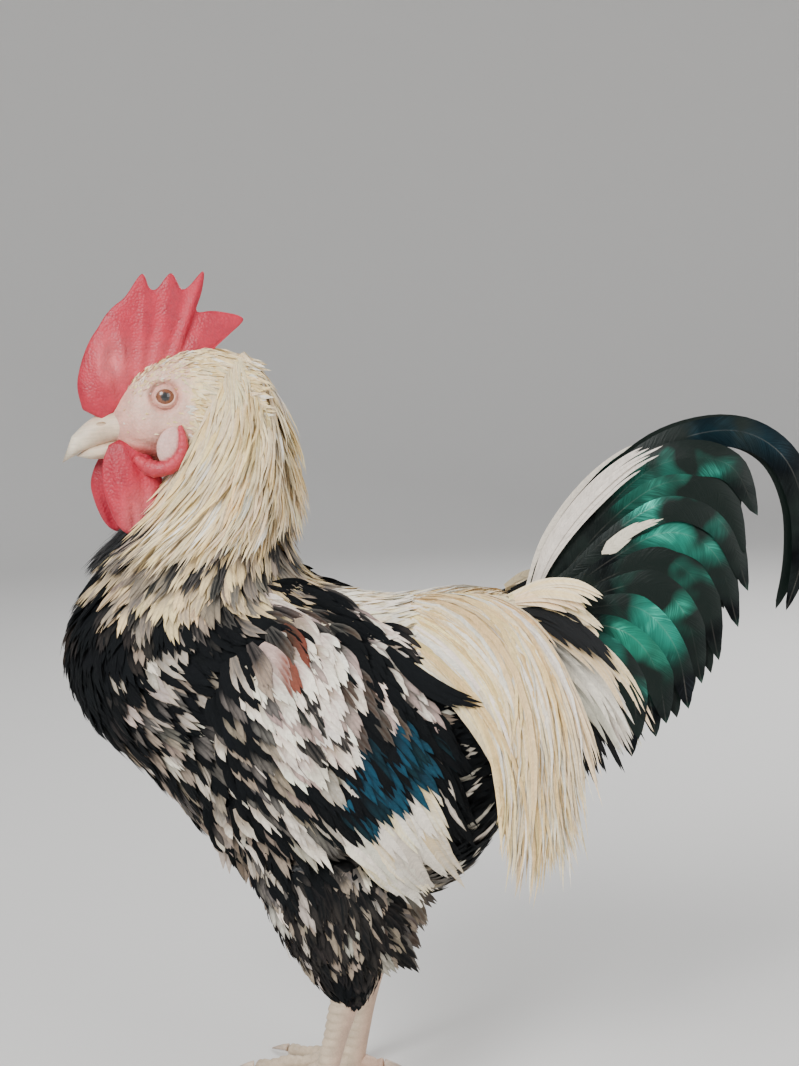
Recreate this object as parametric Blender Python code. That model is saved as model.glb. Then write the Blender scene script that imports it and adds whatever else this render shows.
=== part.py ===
"""A life-size bantam cockerel that stands on both feet, facing -X, with +Z up and its left side towards -Y.

Torso and neck are one loft between a back line and a front line, parted by a thin cut. Head pieces are made
facing straight ahead and then turned together. Every piece keeps GAP to the piece that it grows from.
"""

import math
from functools import partial
from random import Random

import bmesh
import bpy
import numpy as np
from mathutils import Matrix, Vector
from mathutils.bvhtree import BVHTree

MM = 0.001
GAP = 0.35 * MM
SIDES = {"left": -1.0, "right": 1.0}
SEED = 3

# Body stations from the head to the tail, in mm: back line (x, z), front line (x, z), half width
BODY_STATIONS = (
    ((-58, 301), (-84, 257), 17.5),
    ((-49, 286), (-92, 248), 22),
    ((-45, 264), (-98, 240), 26),
    ((-44, 244), (-106, 231), 31),
    ((-43, 229), (-120, 215), 36),
    ((-39, 217), (-131, 196), 41),
    ((-31, 210), (-132, 176), 45),
    ((-18, 206), (-122, 156), 48),
    ((-4, 204), (-102, 137), 50),
    ((10, 204), (-80, 112), 51),
    ((24, 204), (-48, 88), 49),
    ((37, 203), (-12, 80), 44),
    ((46, 201), (20, 92), 37),
    ((54, 197), (41, 122), 28),
    ((59, 192), (53, 153), 18),
)
BODY_SEGMENTS = 20
BODY_RINGS = 27
BODY_WIDEST = 0.12
BODY_ENDS = ((-74, 281), (62, 174))

# Plane between head and neck, and the one between neck and torso: a point (x, z) and a direction (x, z)
HEAD_CUT = ((-70, 280), (-0.92, 0.38))
NECK_CUT = ((-78, 230), (-0.16, 1.0))
# Level under the jaw, above which the head takes the throat's place
JAW_CUT = ((-84, 253), (0.1, 1.0))

# Head stations from the beak to the nape, in mm: x, top z, bottom z, half width
HEAD_STATIONS = (
    (-112, 280, 269, 5.5),
    (-107, 287, 264.5, 9),
    (-100, 293, 261, 12),
    (-91, 298.5, 259.5, 14),
    (-81, 301.5, 258, 15.5),
    (-70, 302, 256, 17),
    (-58, 298, 258, 17.5),
)
HEAD_TURN = math.radians(12)
HEAD_PIVOT = Vector((-66 * MM, 0, 0))
EYE_CENTRE = (-89.5, 10.6, 285)
EYE_RADIUS = 4.4


def points_mm(rows):
    return np.array(rows, float) * MM


def clear_scene():
    for obj in list(bpy.data.objects):
        bpy.data.objects.remove(obj, do_unlink=True)


def paint(name, colour, roughness, metallic=0.0):
    material = bpy.data.materials.new(name)
    material.use_nodes = True
    shader = material.node_tree.nodes["Principled BSDF"]
    shader.inputs["Base Color"].default_value = (*colour, 1)
    shader.inputs["Roughness"].default_value = roughness
    shader.inputs["Metallic"].default_value = metallic
    return material


def smooth_rows(rows, count):
    """Catmull-Rom curve through the rows of numbers, read at count even places."""
    rows = np.array(rows, float)
    padded = np.vstack([2 * rows[0] - rows[1], rows, 2 * rows[-1] - rows[-2]])
    found = []
    for place in np.linspace(0, len(rows) - 1, count):
        i = min(int(place), len(rows) - 2)
        t = place - i
        a, b, c, d = padded[i : i + 4]
        found.append(
            0.5 * (2 * b + (c - a) * t + (2 * a - 5 * b + 4 * c - d) * t**2 + (3 * b - a - 3 * c + d) * t**3)
        )
    return np.array(found)


def mesh_object(name, points, faces):
    mesh = bpy.data.meshes.new(name)
    mesh.from_pydata([tuple(p) for p in points], [], faces)
    made = bmesh.new()
    made.from_mesh(mesh)
    bmesh.ops.recalc_face_normals(made, faces=made.faces)
    made.to_mesh(mesh)
    made.free()
    obj = bpy.data.objects.new(name, mesh)
    bpy.context.scene.collection.objects.link(obj)
    return obj


def loft(name, rings, first=None, last=None):
    """A closed skin over rings of equal length, each end closed by a point, or by its middle where none is given."""
    rings = [np.asarray(ring) for ring in rings]
    size = len(rings[0])
    first = rings[0].mean(axis=0) if first is None else np.asarray(first)
    last = rings[-1].mean(axis=0) if last is None else np.asarray(last)
    points = [*np.vstack(rings), first, last]
    faces = []
    for row in range(len(rings) - 1):
        for i in range(size):
            j = (i + 1) % size
            faces.append((row * size + i, row * size + j, (row + 1) * size + j, (row + 1) * size + i))
    top = (len(rings) - 1) * size
    for i in range(size):
        j = (i + 1) % size
        faces.append((j, i, len(points) - 2))
        faces.append((top + i, top + j, len(points) - 1))
    return mesh_object(name, points, faces)


def oval(centre, across, up, count, widest=0.0):
    """A ring round centre. across and up are its half axes; widest moves its broadest level towards up."""
    ring = []
    for i in range(count):
        angle = math.tau * i / count
        swell = 1 + widest * math.cos(angle)
        ring.append(centre + across * math.sin(angle) * swell + up * math.cos(angle))
    return np.array(ring)


def grown(obj, amount):
    """A copy of obj with its skin moved out by amount."""
    copy = obj.copy()
    copy.data = obj.data.copy()
    bpy.context.scene.collection.objects.link(copy)
    normals = [v.normal.copy() for v in copy.data.vertices]
    for vertex, normal in zip(copy.data.vertices, normals):
        vertex.co += normal * amount
    return copy


def join_or_cut(target, operation, others):
    """One Boolean of target with the others, applied, after which the others are removed."""
    group = bpy.data.collections.new(operation)
    for other in others:
        group.objects.link(other)
    modifier = target.modifiers.new(operation, "BOOLEAN")
    modifier.operation = operation
    modifier.operand_type = "COLLECTION"
    modifier.collection = group
    # The exact solver left whole cuts out where thin vanes and skins cross, so this one is used for all
    modifier.solver = "MANIFOLD"
    graph = bpy.context.evaluated_depsgraph_get()
    result = bpy.data.meshes.new_from_object(target.evaluated_get(graph))
    target.modifiers.clear()
    target.data = result
    for other in list(group.objects):
        bpy.data.objects.remove(other, do_unlink=True)
    bpy.data.collections.remove(group)
    return target


def half_space(point, direction, reach=0.4):
    """A large box whose one face passes through point and which lies on the side that direction shows."""
    bpy.ops.mesh.primitive_cube_add(size=2 * reach)
    box = bpy.context.object
    direction = Vector(direction).normalized()
    turn = direction.to_track_quat("Z", "Y").to_matrix().to_4x4()
    box.data.transform(Matrix.Translation(Vector(point) + direction * reach) @ turn)
    return box


def plane_half(cut, towards, gap):
    """The half space on one side of a cut given as a point and a direction in the XZ plane, backed off by gap."""
    (x, z), (dx, dz) = cut
    direction = Vector((dx, 0, dz)).normalized() * towards
    return half_space(Vector((x * MM, 0, z * MM)) - direction * gap, direction)


def keep_largest(obj):
    """Leaves only the largest closed surface of obj's mesh, in triangles."""
    made = bmesh.new()
    made.from_mesh(obj.data)
    made.verts.ensure_lookup_table()
    unseen = set(made.verts)
    pieces = []
    while unseen:
        stack = [unseen.pop()]
        piece = set(stack)
        while stack:
            for edge in stack.pop().link_edges:
                for vertex in edge.verts:
                    if vertex not in piece:
                        piece.add(vertex)
                        unseen.discard(vertex)
                        stack.append(vertex)
        pieces.append(piece)

    def extent(piece):
        places = np.array([v.co for v in piece])
        return np.linalg.norm(places.max(axis=0) - places.min(axis=0))

    largest = max(pieces, key=extent)
    bmesh.ops.delete(made, geom=[v for v in made.verts if v not in largest], context="VERTS")
    bmesh.ops.triangulate(made, faces=made.faces)
    made.to_mesh(obj.data)
    made.free()


def finish(obj, name, material):
    keep_largest(obj)
    obj.name = name
    obj.data.name = name
    obj.data.materials.clear()
    obj.data.materials.append(material)
    obj.data.shade_smooth()
    obj.data.set_sharp_from_angle(angle=math.radians(40))
    return obj


def body_loft():
    """Torso and neck in one piece."""
    rows = [(*back, *front, half) for back, front, half in BODY_STATIONS]
    rings = []
    for bx, bz, fx, fz, half in smooth_rows(rows, BODY_RINGS) * MM:
        centre = np.array([(bx + fx) / 2, 0, (bz + fz) / 2])
        up = np.array([(bx - fx) / 2, 0, (bz - fz) / 2])
        rings.append(oval(centre, np.array([0, half, 0]), up, BODY_SEGMENTS, BODY_WIDEST))
    (hx, hz), (tx, tz) = BODY_ENDS
    return loft("body", rings, (hx * MM, 0, hz * MM), (tx * MM, 0, tz * MM))


def head_room(gap):
    """All that is in front of the cut between head and neck and above the jaw's level, grown by gap."""
    room = plane_half(HEAD_CUT, 1, gap)
    return join_or_cut(room, "INTERSECT", [plane_half(JAW_CUT, 1, gap)])


def body_piece(cuts):
    """The body loft less the half spaces given."""
    return join_or_cut(body_loft(), "DIFFERENCE", cuts)


def turned_with_head(obj):
    """Turns a head piece towards the left with the head."""
    turn = Matrix.Translation(HEAD_PIVOT) @ Matrix.Rotation(HEAD_TURN, 4, "Z") @ Matrix.Translation(-HEAD_PIVOT)
    obj.data.transform(turn)
    return obj


def head_loft():
    rings = []
    for x, top, bottom, half in smooth_rows(HEAD_STATIONS, 11) * MM:
        centre = np.array([x, 0, (top + bottom) / 2])
        rings.append(oval(centre, np.array([0, half, 0]), np.array([0, 0, (top - bottom) / 2]), 20))
    return turned_with_head(loft("head", rings, points_mm((-113.5, 0, 274)), points_mm((-52, 0, 279))))


# Comb outline from its front foot over its points to its rear foot, in mm: x, z, and the base line's two ends
COMB_OUTLINE = (
    (-121, 281), (-122.5, 290), (-120.5, 299), (-117, 307), (-113, 311.5), (-111.5, 318), (-107, 319.5),
    (-101.5, 323.5), (-95, 332), (-92.5, 326.5), (-89.5, 326), (-84, 332), (-80.5, 326), (-77.5, 326.5),
    (-71.5, 332.5), (-72.5, 324.5), (-75, 317), (-68, 317), (-57, 314), (-62, 308.5), (-67, 304.5),
)
COMB_BASE = ((-112, 279), (-106, 286), (-97, 291), (-86, 296), (-74, 299))
COMB_HALF_THICKNESS = (3.4, 2.6, 1.5, 0.7)
COMB_FOLD = 2.2

# Beak rings in mm: x, z of the middle, half width, half height
UPPER_BEAK = ((-107.5, 275, 6.6, 5.6), (-113, 274.2, 5.6, 5.4), (-119, 271.6, 4.2, 4.6), (-124.5, 268, 2.7, 3.6))
UPPER_BEAK_TIP = (-128.5, 261.5)
LOWER_BEAK = ((-106, 265.2, 5.6, 2.9), (-112, 264.8, 4.6, 2.4), (-118, 264.2, 3.0, 1.7))
LOWER_BEAK_TIP = (-122.5, 263.4)
# Nostril slot: its middle and half lengths in mm
NOSTRIL = (-114.5, 5.0, 275.8)
NOSTRIL_SIZE = (2.3, 1.3, 0.8)
MOUTH_LINE = ((-104, 269.4), (-118, 267.2), (-125, 263.5))

# Wattle rings in mm from its root to its foot: x, z, half width fore and aft, half thickness
WATTLE_RINGS = (
    (-104, 263.5, 5.5, 2.0), (-104.5, 258, 9, 2.6), (-104.5, 250, 11, 2.7), (-103.5, 242, 9.6, 2.4), (-102, 235.5, 6, 1.8),
)
WATTLE_ROOT = (-103.5, 266)
WATTLE_FOOT = (-101, 231.5)
WATTLE_OUT = (5.0, 9.0)

# Ear lobe rings in mm: x, z, half width, half thickness
LOBE_RINGS = ((-84.5, 271, 4, 1.4), (-85, 266.5, 5.6, 1.9), (-84.5, 261, 5.2, 1.8), (-84, 256.5, 3, 1.2))


def flat_ring(x, y, z, half_wide, half_thick, count):
    """A level oval ring, wide along X and thin along Y."""
    return oval(np.array([x, y, z]) * MM, np.array([0, half_thick * MM, 0]), np.array([half_wide * MM, 0, 0]), count)


def comb_blade():
    """A blade that thins from its base to its points, with a fold pressed into its front."""
    outline = np.array(COMB_OUTLINE, float)
    base = smooth_rows(COMB_BASE, len(outline))
    levels = np.linspace(0, 1, len(COMB_HALF_THICKNESS))
    points = []
    for side in (-1, 1):
        for share, half in zip(levels, COMB_HALF_THICKNESS):
            for i, (low, high) in enumerate(zip(base, outline)):
                x, z = low + (high - low) * share
                place = i / (len(outline) - 1)
                fold = COMB_FOLD * math.sin(math.pi * share) * math.exp(-(((place - 0.12) / 0.12) ** 2))
                points.append((x * MM, (side * half - fold) * MM, z * MM))
    wide, tall = len(outline), len(levels)
    faces = []
    for row in range(tall - 1):
        for i in range(wide - 1):
            corner = row * wide + i
            quad = (corner, corner + 1, corner + wide + 1, corner + wide)
            faces.append(quad)
            faces.append(tuple(v + wide * tall for v in reversed(quad)))
    rim = [i for i in range(wide)] + [row * wide + wide - 1 for row in range(1, tall)]
    rim += [(tall - 1) * wide + i for i in range(wide - 2, -1, -1)] + [row * wide for row in range(tall - 2, 0, -1)]
    for i, corner in enumerate(rim):
        following = rim[(i + 1) % len(rim)]
        faces.append((following, corner, corner + wide * tall, following + wide * tall))
    return turned_with_head(mesh_object("comb", points, faces))


def beak_half(rows, tip, count=12):
    rings = []
    for x, z, half_wide, half_high in smooth_rows(rows, 6) * MM:
        rings.append(oval(np.array([x, 0, z]), np.array([0, half_wide, 0]), np.array([0, 0, half_high]), count))
    (root_x, root_z), (tip_x, tip_z) = rows[0][:2], tip
    return turned_with_head(loft("beak", rings, points_mm((root_x, 0, root_z)), points_mm((tip_x, 0, tip_z))))


def mouth_cutter(above, gap):
    """Fills the space above or below the line of the mouth, as a slab that follows it."""
    sign = 1 if above else -1
    line = smooth_rows(MOUTH_LINE, 7)
    rings = []
    for x, z in line:
        near, far = z + sign * gap, z + sign * 30
        rings.append(points_mm(((x, -20, near), (x, 20, near), (x, 20, far), (x, -20, far))))
    return turned_with_head(loft("mouth", rings))


def wattle(side):
    rings = []
    rows = smooth_rows(WATTLE_RINGS, 8)
    for i, (x, z, half_wide, half_thick) in enumerate(rows):
        share = i / (len(rows) - 1)
        y = side * (WATTLE_OUT[0] + (WATTLE_OUT[1] - WATTLE_OUT[0]) * math.sin(share * math.pi / 2))
        rings.append(flat_ring(x, y, z, half_wide, half_thick, 10))
    root = points_mm((WATTLE_ROOT[0], side * WATTLE_OUT[0], WATTLE_ROOT[1]))
    foot = points_mm((WATTLE_FOOT[0], side * WATTLE_OUT[1], WATTLE_FOOT[1]))
    return turned_with_head(loft("wattle", rings, root, foot))


def ear_lobe(side):
    rings = [
        flat_ring(x, side * (15.3 + 0.4 * i), z, half_wide, half_thick, 10)
        for i, (x, z, half_wide, half_thick) in enumerate(smooth_rows(LOBE_RINGS, 6))
    ]
    return turned_with_head(loft("lobe", rings))


def ball(centre, radius, stretch=(1, 1, 1), segments=12, rings=8):
    bpy.ops.mesh.primitive_uv_sphere_add(segments=segments, ring_count=rings, radius=radius)
    obj = bpy.context.object
    obj.data.transform(Matrix.Translation(Vector(centre)) @ Matrix.Diagonal((*stretch, 1)))
    return obj


def nostril(side):
    """The slot of one nostril, to be cut from the upper beak."""
    x, y, z = NOSTRIL
    return turned_with_head(ball((x * MM, side * y * MM, z * MM), 1.0 * MM, NOSTRIL_SIZE, 8, 6))


def eye_ball(side, extra=0.0):
    x, y, z = EYE_CENTRE
    return turned_with_head(ball((x * MM, side * y * MM, z * MM), EYE_RADIUS * MM + extra))


LID_RADIUS = 4.6
LID_THICKNESS = 0.9


def eye_lid(side):
    """The swollen rim of the lids round the eye."""
    x, y, z = EYE_CENTRE
    bpy.ops.mesh.primitive_torus_add(
        major_radius=LID_RADIUS * MM, minor_radius=LID_THICKNESS * MM, major_segments=12, minor_segments=4
    )
    obj = bpy.context.object
    turn = Matrix.Rotation(math.pi / 2, 4, "X")
    obj.data.transform(Matrix.Translation(Vector((x, side * (y + 2.1), z)) * MM) @ turn)
    return turned_with_head(obj)


# Legs, in mm: the hock and the ankle of each side as (x, y, z)
HOCKS = {"left": (-25, -28, 54), "right": (-13, 28, 54)}
ANKLES = {"left": (-40, -28, 7.5), "right": (-27, 28, 7.5)}
THIGH_TOPS = {"left": (-36, -25, 108), "right": (-28, 25, 108)}
THIGH_ROWS = ((0, 24, 14), (0.35, 24, 15.5), (0.6, 20.5, 14.5), (0.8, 15.5, 12), (0.93, 11, 9.5), (1.0, 7.5, 7))
SHANK_ROWS = ((0, 5.2), (0.12, 5.0), (0.3, 4.2), (0.6, 4.0), (0.85, 4.4), (1.0, 5.0))
SHANK_SIDES = 8
# Scutes down the front of the shank: count, how far each stands out, height of the step between two, in mm
SCUTES = (8, 0.55, 0.8)
# Toes: heading from straight ahead in degrees, length, radius at the root and at the tip, plates along its top
TOES = {
    "inner": (27, 30, 3.6, 2.1, 4),
    "middle": (0, 41, 3.8, 2.2, 5),
    "outer": (-30, 32, 3.5, 2.1, 4),
    "hind": (168, 14, 3.0, 2.0, 2),
}
TOE_SIDES = 6
CLAW_LENGTH = 8.5
CLAW_RADIUS = 1.7


def along(start, end, share):
    return np.array(start, float) * (1 - share) + np.array(end, float) * share


def thigh(name):
    """The drumstick, which narrows to the hock."""
    top, hock = THIGH_TOPS[name], HOCKS[name]
    rings = []
    for share, deep, wide in smooth_rows(THIGH_ROWS, 9):
        centre = along(top, hock, share) * MM
        rings.append(oval(centre, np.array([0, wide, 0]) * MM, np.array([deep, 0, 0]) * MM, 14))
    return loft("thigh", rings)


def shank(name):
    """The scaled shank, with plates that stand out round its front one below the other, and a flat sole."""
    hock, ankle = HOCKS[name], ANKLES[name]
    start = np.array(hock, float) - np.array([0, 0, GAP / MM + 0.3])
    count, rise, step = SCUTES
    length = np.linalg.norm(np.array(ankle) - start)
    radii = smooth_rows(SHANK_ROWS, 41)
    rings = []
    for i in range(count):
        for share, lift in ((i / count, 0.1), ((i + 1) / count - step / length, 1.0)):
            radius = np.interp(share, radii[:, 0], radii[:, 1])
            centre = along(start, ankle, share) * MM
            ring = oval(centre, np.array([0, radius, 0]) * MM, np.array([radius * 1.1, 0, 0]) * MM, SHANK_SIDES)
            for k in range(SHANK_SIDES):
                front = max(0.0, -math.cos(math.tau * k / SHANK_SIDES) + 0.35)
                ring[k] += unit(ring[k] - centre) * rise * min(front, 1) * lift * MM
            rings.append(ring)
    ankle_foot = np.array([ankle[0] - 0.8, ankle[1], 0]) * MM
    sole = oval(ankle_foot, np.array([0, 4.8, 0]) * MM, np.array([5.4, 0, 0]) * MM, SHANK_SIDES)
    return loft("shank", [*rings, sole])


def toe_direction(name, heading):
    angle = math.radians(heading * (1 if name == "left" else -1))
    return np.array([-math.cos(angle), math.sin(angle), 0])


def toe_root(name):
    ankle = ANKLES[name]
    return np.array([ankle[0] - 0.8, ankle[1], 0]) * MM


def toe(name, kind):
    """A toe of plates that stand out one beyond the other, with a flat underside on the floor."""
    heading, length, root_radius, tip_radius, plates = TOES[kind]
    direction = toe_direction(name, heading)
    across = np.array([-direction[1], direction[0], 0])
    shares = [(i + part) / plates for i in range(plates) for part in (0, 0.86)]
    radii = [root_radius + (tip_radius - root_radius) * share for share in shares]
    radii = [radius * (1.08 if i % 2 else 0.9) for i, radius in enumerate(radii)]
    rings = []
    for share, radius in zip([*shares, 1.0], [*radii, tip_radius * 0.75]):
        centre = toe_root(name) + direction * (2 + share * (length - 2)) * MM
        centre[2] = radius * 0.9 * MM
        ring = oval(centre, across * radius * MM, np.array([0, 0, radius * MM]), TOE_SIDES)
        ring[TOE_SIDES // 2 - 1 : TOE_SIDES // 2 + 2, 2] = 0
        rings.append(ring)
    return loft("toe", rings)


def claw(name, kind):
    """A curved claw that leaves the end of its toe."""
    heading, length = TOES[kind][:2]
    direction = toe_direction(name, heading)
    across = np.array([-direction[1], direction[0], 0])
    begin = toe_root(name) + direction * (length * MM + GAP)
    rings = []
    for share in (0, 0.35, 0.7):
        radius = CLAW_RADIUS * (1 - share * 0.8) * MM
        middle = begin + direction * CLAW_LENGTH * share * MM
        middle[2] = (2.5 - 1.9 * share**1.6) * MM
        ring = oval(middle, across * radius, np.array([0, 0, radius]), 6)
        ring[:, 2] = np.maximum(ring[:, 2], 0.15 * MM)
        rings.append(ring)
    tip = begin + direction * CLAW_LENGTH * MM
    tip[2] = 0.3 * MM
    return loft("claw", rings, None, tip)


def tree_of(*objects):
    points, faces = [], []
    for obj in objects:
        start = len(points)
        points += [v.co.copy() for v in obj.data.vertices]
        faces += [[start + i for i in p.vertices] for p in obj.data.polygons]
    return BVHTree.FromPolygons(points, faces)


def unit(vector):
    vector = np.asarray(vector, float)
    return vector / max(np.linalg.norm(vector), 1e-12)


# Feather outlines: share of the length and share of the full width at each ring, before the tip
POINTED = ((0, 0.7), (0.3, 1.0), (0.7, 0.72))
ROUNDED = ((0, 0.6), (0.45, 1.0), (0.86, 0.8))
LONG_POINTED = ((0, 0.55), (0.24, 1.0), (0.52, 0.95), (0.8, 0.6))
BLADE = ((0, 0.4), (0.3, 0.9), (0.88, 0.85))
SICKLE = ((0, 0.4), (0.16, 0.85), (0.33, 1.0), (0.48, 1.0), (0.62, 0.95), (0.76, 0.8), (0.89, 0.55))
LESSER_SICKLE = ((0, 0.4), (0.3, 0.9), (0.55, 1.0), (0.75, 0.9), (0.9, 0.6))
VANE_THICKNESS = 0.7
VANE_SINK = 2.4
# Least height of a vane's middle over what it lies on
VANE_CLEAR = 0.8


class Vane:
    """One feather: its middle line with the tip last, and the face normal and width at each ring before the tip."""

    def __init__(self, path, normals, widths):
        self.path = np.array(path)
        self.normals = normals
        self.widths = widths

    def solid(self, extra=0.0):
        """Its closed mesh, with every face moved out by extra."""
        half = VANE_THICKNESS * MM / 2 + extra
        points = []
        for i, (normal, width) in enumerate(zip(self.normals, self.widths)):
            tangent = unit(self.path[i + 1] - self.path[max(i - 1, 0)])
            across = unit(np.cross(tangent, normal)) * (width / 2 + extra)
            face = unit(np.cross(across, tangent)) * half
            place = self.path[i] - (tangent * extra if i == 0 else 0)
            points += [place + across + face, place - across + face, place - across - face, place + across - face]
        points.append(self.path[-1] + unit(self.path[-1] - self.path[-2]) * extra * 3)
        faces = [(0, 1, 2), (0, 2, 3)]
        # The front and the back face are split along the same diagonals
        for i in range(len(self.widths) - 1):
            a, b = 4 * i, 4 * i + 4
            faces += [(a, a + 1, b + 1), (a, b + 1, b), (a + 3, a + 2, b + 2), (a + 3, b + 2, b + 3)]
            faces += [(a, a + 3, b + 3), (a, b + 3, b), (a + 1, a + 2, b + 2), (a + 1, b + 2, b + 1)]
        last = 4 * len(self.widths) - 4
        faces += [(last + i, last + (i + 1) % 4, len(points) - 1) for i in range(4)]
        return mesh_object("vane", points, faces)


class Skin:
    """A surface for feathers to lie on, and what lies on it so far.

    outward(place) gives the way in which the surface is sought; without it the nearest skin is taken. Where
    the surface falls away, a feather sinks by no more than slack times its run.
    """

    def __init__(self, pieces, outward=None, slack=0.0):
        self.pieces = list(pieces)
        self.tree = tree_of(*pieces)
        self.covered = self.tree
        self.outward = outward
        self.slack = slack

    def cover(self, solids):
        """Adds solids that later feathers have to lie over."""
        self.pieces += solids
        self.covered = tree_of(*self.pieces)

    def rest(self, place, height, before=None):
        """The place moved to a height over the skin, and the skin's normal there."""
        if self.outward is None:
            skin, normal = self.tree.find_nearest(Vector(place))[:2]
            return np.array(skin) + np.array(normal) * height, np.array(normal)
        way = unit(self.outward(place))
        skin, normal = self.tree.ray_cast(Vector(place + way * 0.2), Vector(-way))[:2]
        if skin is None:
            return np.array(place), way
        level = (np.array(skin) - place) @ way + height
        if before is not None:
            level = max(level, -self.slack * np.linalg.norm(place - before))
        return place + way * level, unit(np.array(normal) + 2 * way)

    def clearance(self, place, normal):
        """Height of a place over all that lies below it so far."""
        normal = unit(normal)
        skin = self.covered.ray_cast(Vector(place + normal * 0.02), Vector(-normal), 0.06)[0]
        return 1.0 if skin is None else float((place - np.array(skin)) @ normal)


def draped(skin, start, lie, length, width, outline, lifts, step=3.0):
    """A vane from start that runs along lie(share) over a skin, clear of all that is on it; sizes in mm.

    lifts are its heights over the skin near the root and at the tip.
    """
    count = max(int(round(length / step)), 8)
    root, normal = skin.rest(start, -VANE_SINK * MM)
    place = np.array(start)
    track, facing = [root], [normal]
    for i in range(1, count + 1):
        share = i / count
        way = np.array(lie(share))
        way = unit(way - normal * (way @ normal))
        height = lifts[0] + (lifts[1] - lifts[0]) * share
        place, normal = skin.rest(place + way * (length / count) * MM, height * MM, place)
        track.append(place)
        facing.append(normal)
    rings = [int(round(share * count)) for share, wide in outline]
    path = [track[i] for i in rings] + [track[-1]]
    normals = [facing[i] for i in rings]
    widths = [wide * width * MM for share, wide in outline]
    for turn in range(8):
        lifts = [0.0] * len(path)
        for i in range(1, len(path) - 1):
            after = normals[min(i + 1, len(normals) - 1)]
            for share in (0, 0.33, 0.67, 1.0):
                normal = unit(normals[i] * (1 - share) + after * share)
                middle = path[i] * (1 - share) + path[i + 1] * share
                across = unit(np.cross(path[i + 1] - path[i], normal)) * widths[i] * 0.45
                for edge in (-1, 0, 1):
                    short = VANE_CLEAR * MM - skin.clearance(middle + across * edge, normal)
                    lifts[i] = max(lifts[i], short * min(1, 2 - 2 * share))
                    lifts[i + 1] = max(lifts[i + 1], short * min(1, 2 * share))
        if max(lifts) < 0.02 * MM:
            break
        for i in range(1, len(path)):
            path[i] = path[i] + unit(normals[min(i, len(normals) - 1)]) * lifts[i]
    return Vane(path, normals, widths)


# Neck feathers: rings of roots by station of the body, how far round they reach from the back, count, length
HACKLE_TIERS = ((0.4, 96, 7, 36), (1.0, 125, 9, 38), (1.6, 160, 10, 40), (2.2, 172, 11, 42), (2.8, 174, 12, 38))
HACKLE_COVER = 0.94
HACKLE_LIFTS = (0.9, 2.5)


def body_ring(station):
    """Centre, sideways half axis and half axis towards the back line, of the body at a station."""
    rows = [(*back, *front, half) for back, front, half in BODY_STATIONS]
    bx, bz, fx, fz, half = np.array(smooth_rows(rows, 10 * (len(rows) - 1) + 1))[int(round(station * 10))] * MM
    return np.array([(bx + fx) / 2, 0, (bz + fz) / 2]), np.array([0, half, 0]), np.array([(bx - fx) / 2, 0, (bz - fz) / 2])


def hackle(skin, random):
    """The neck's long pointed feathers, tier over tier from the lowest up."""
    vanes = []
    for tier, (station, reach, count, length) in enumerate(reversed(HACKLE_TIERS)):
        centre, across, up = body_ring(station)
        girth = math.pi * (np.linalg.norm(across) + np.linalg.norm(up)) * reach / 180
        width = girth / count / MM * HACKLE_COVER
        laid = []
        for i in range(count):
            turn = math.radians(reach) * (2 * (i + 0.5 + 0.25 * (tier % 2)) / count - 1)
            start = centre + across * math.sin(turn) + up * math.cos(turn)
            behind = 0.5 + 0.5 * math.cos(turn)
            drift = 0.1 + 0.3 * behind
            side = 0.12 * math.sin(turn)
            long = length * (1 - 0.25 * behind if tier == 0 else 1) * random.uniform(0.92, 1.08)
            lie = lambda share: (drift, side * (1 - share), -1.0)
            laid.append(draped(skin, start, lie, long, width, POINTED, HACKLE_LIFTS))
        vanes += lay(skin, laid)
    return vanes


def lay(skin, vanes):
    """Adds a finished tier to the skin that the next one lies on."""
    skin.cover([vane.solid() for vane in vanes])
    return vanes


# Wing oval seen from the side, in mm: middle (x, z), long axis direction (x, z), half length, half width
WING_MIDDLE = (-25, 146)
WING_AXIS = (0.5, -0.866)
WING_HALF = (57, 38)
# Shares of the oval and the wing's height over the body there, from its inner rim to its crown
WING_LEVELS = ((1.0, -2.5), (1.0, 1.6), (0.84, 3.6), (0.55, 5.4))
# Wing feathers: root level along the wing, first and last place across it, count, length, width, lifts, outline
WING_TIERS = (
    (20, 24, 33, 2, 52, 7.2, (0.6, 0.8), BLADE),
    (14, -27, 32, 5, 44, 13.2, (0.8, 1.0), BLADE),
    (-5, -32, 32, 6, 34, 12, (0.8, 1.2), ROUNDED),
    (-23, -28, 28, 5, 32, 12.4, (0.8, 1.2), ROUNDED),
    (-40, -22, 22, 4, 30, 12.4, (0.8, 1.2), ROUNDED),
    (-53, -13, 13, 3, 26, 11.4, (0.8, 1.2), ROUNDED),
)


def over_skin(tree, x, z, side, level):
    """The point at a height over the skin, seen from the side at x, z."""
    start = Vector((x, side * 0.3, z))
    place, normal = tree.ray_cast(start, Vector((0, -side, 0)))[:2]
    if place is None:
        place, normal = tree.find_nearest(Vector((x, side * 0.03, z)))[:2]
    return np.array(place + normal * level)


def wing_place(u, v):
    """The place seen from the side that is u along the wing and v across it, towards the back."""
    long_way = unit(WING_AXIS)
    return (np.array(WING_MIDDLE) + long_way * u + np.array([-long_way[1], long_way[0]]) * v) * MM


def wing_core(side, tree):
    """The folded wing's body, which lies along the side of the torso."""
    rings = []
    for share, level in WING_LEVELS:
        ring = []
        for i in range(18):
            angle = math.tau * i / 18
            x, z = wing_place(WING_HALF[0] * math.cos(angle) * share, WING_HALF[1] * math.sin(angle) * share)
            ring.append(over_skin(tree, x, z, side, level * MM))
        rings.append(ring)
    return loft("wing_core", rings, None, over_skin(tree, *wing_place(0, 0), side, WING_LEVELS[-1][1] * MM))


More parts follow.
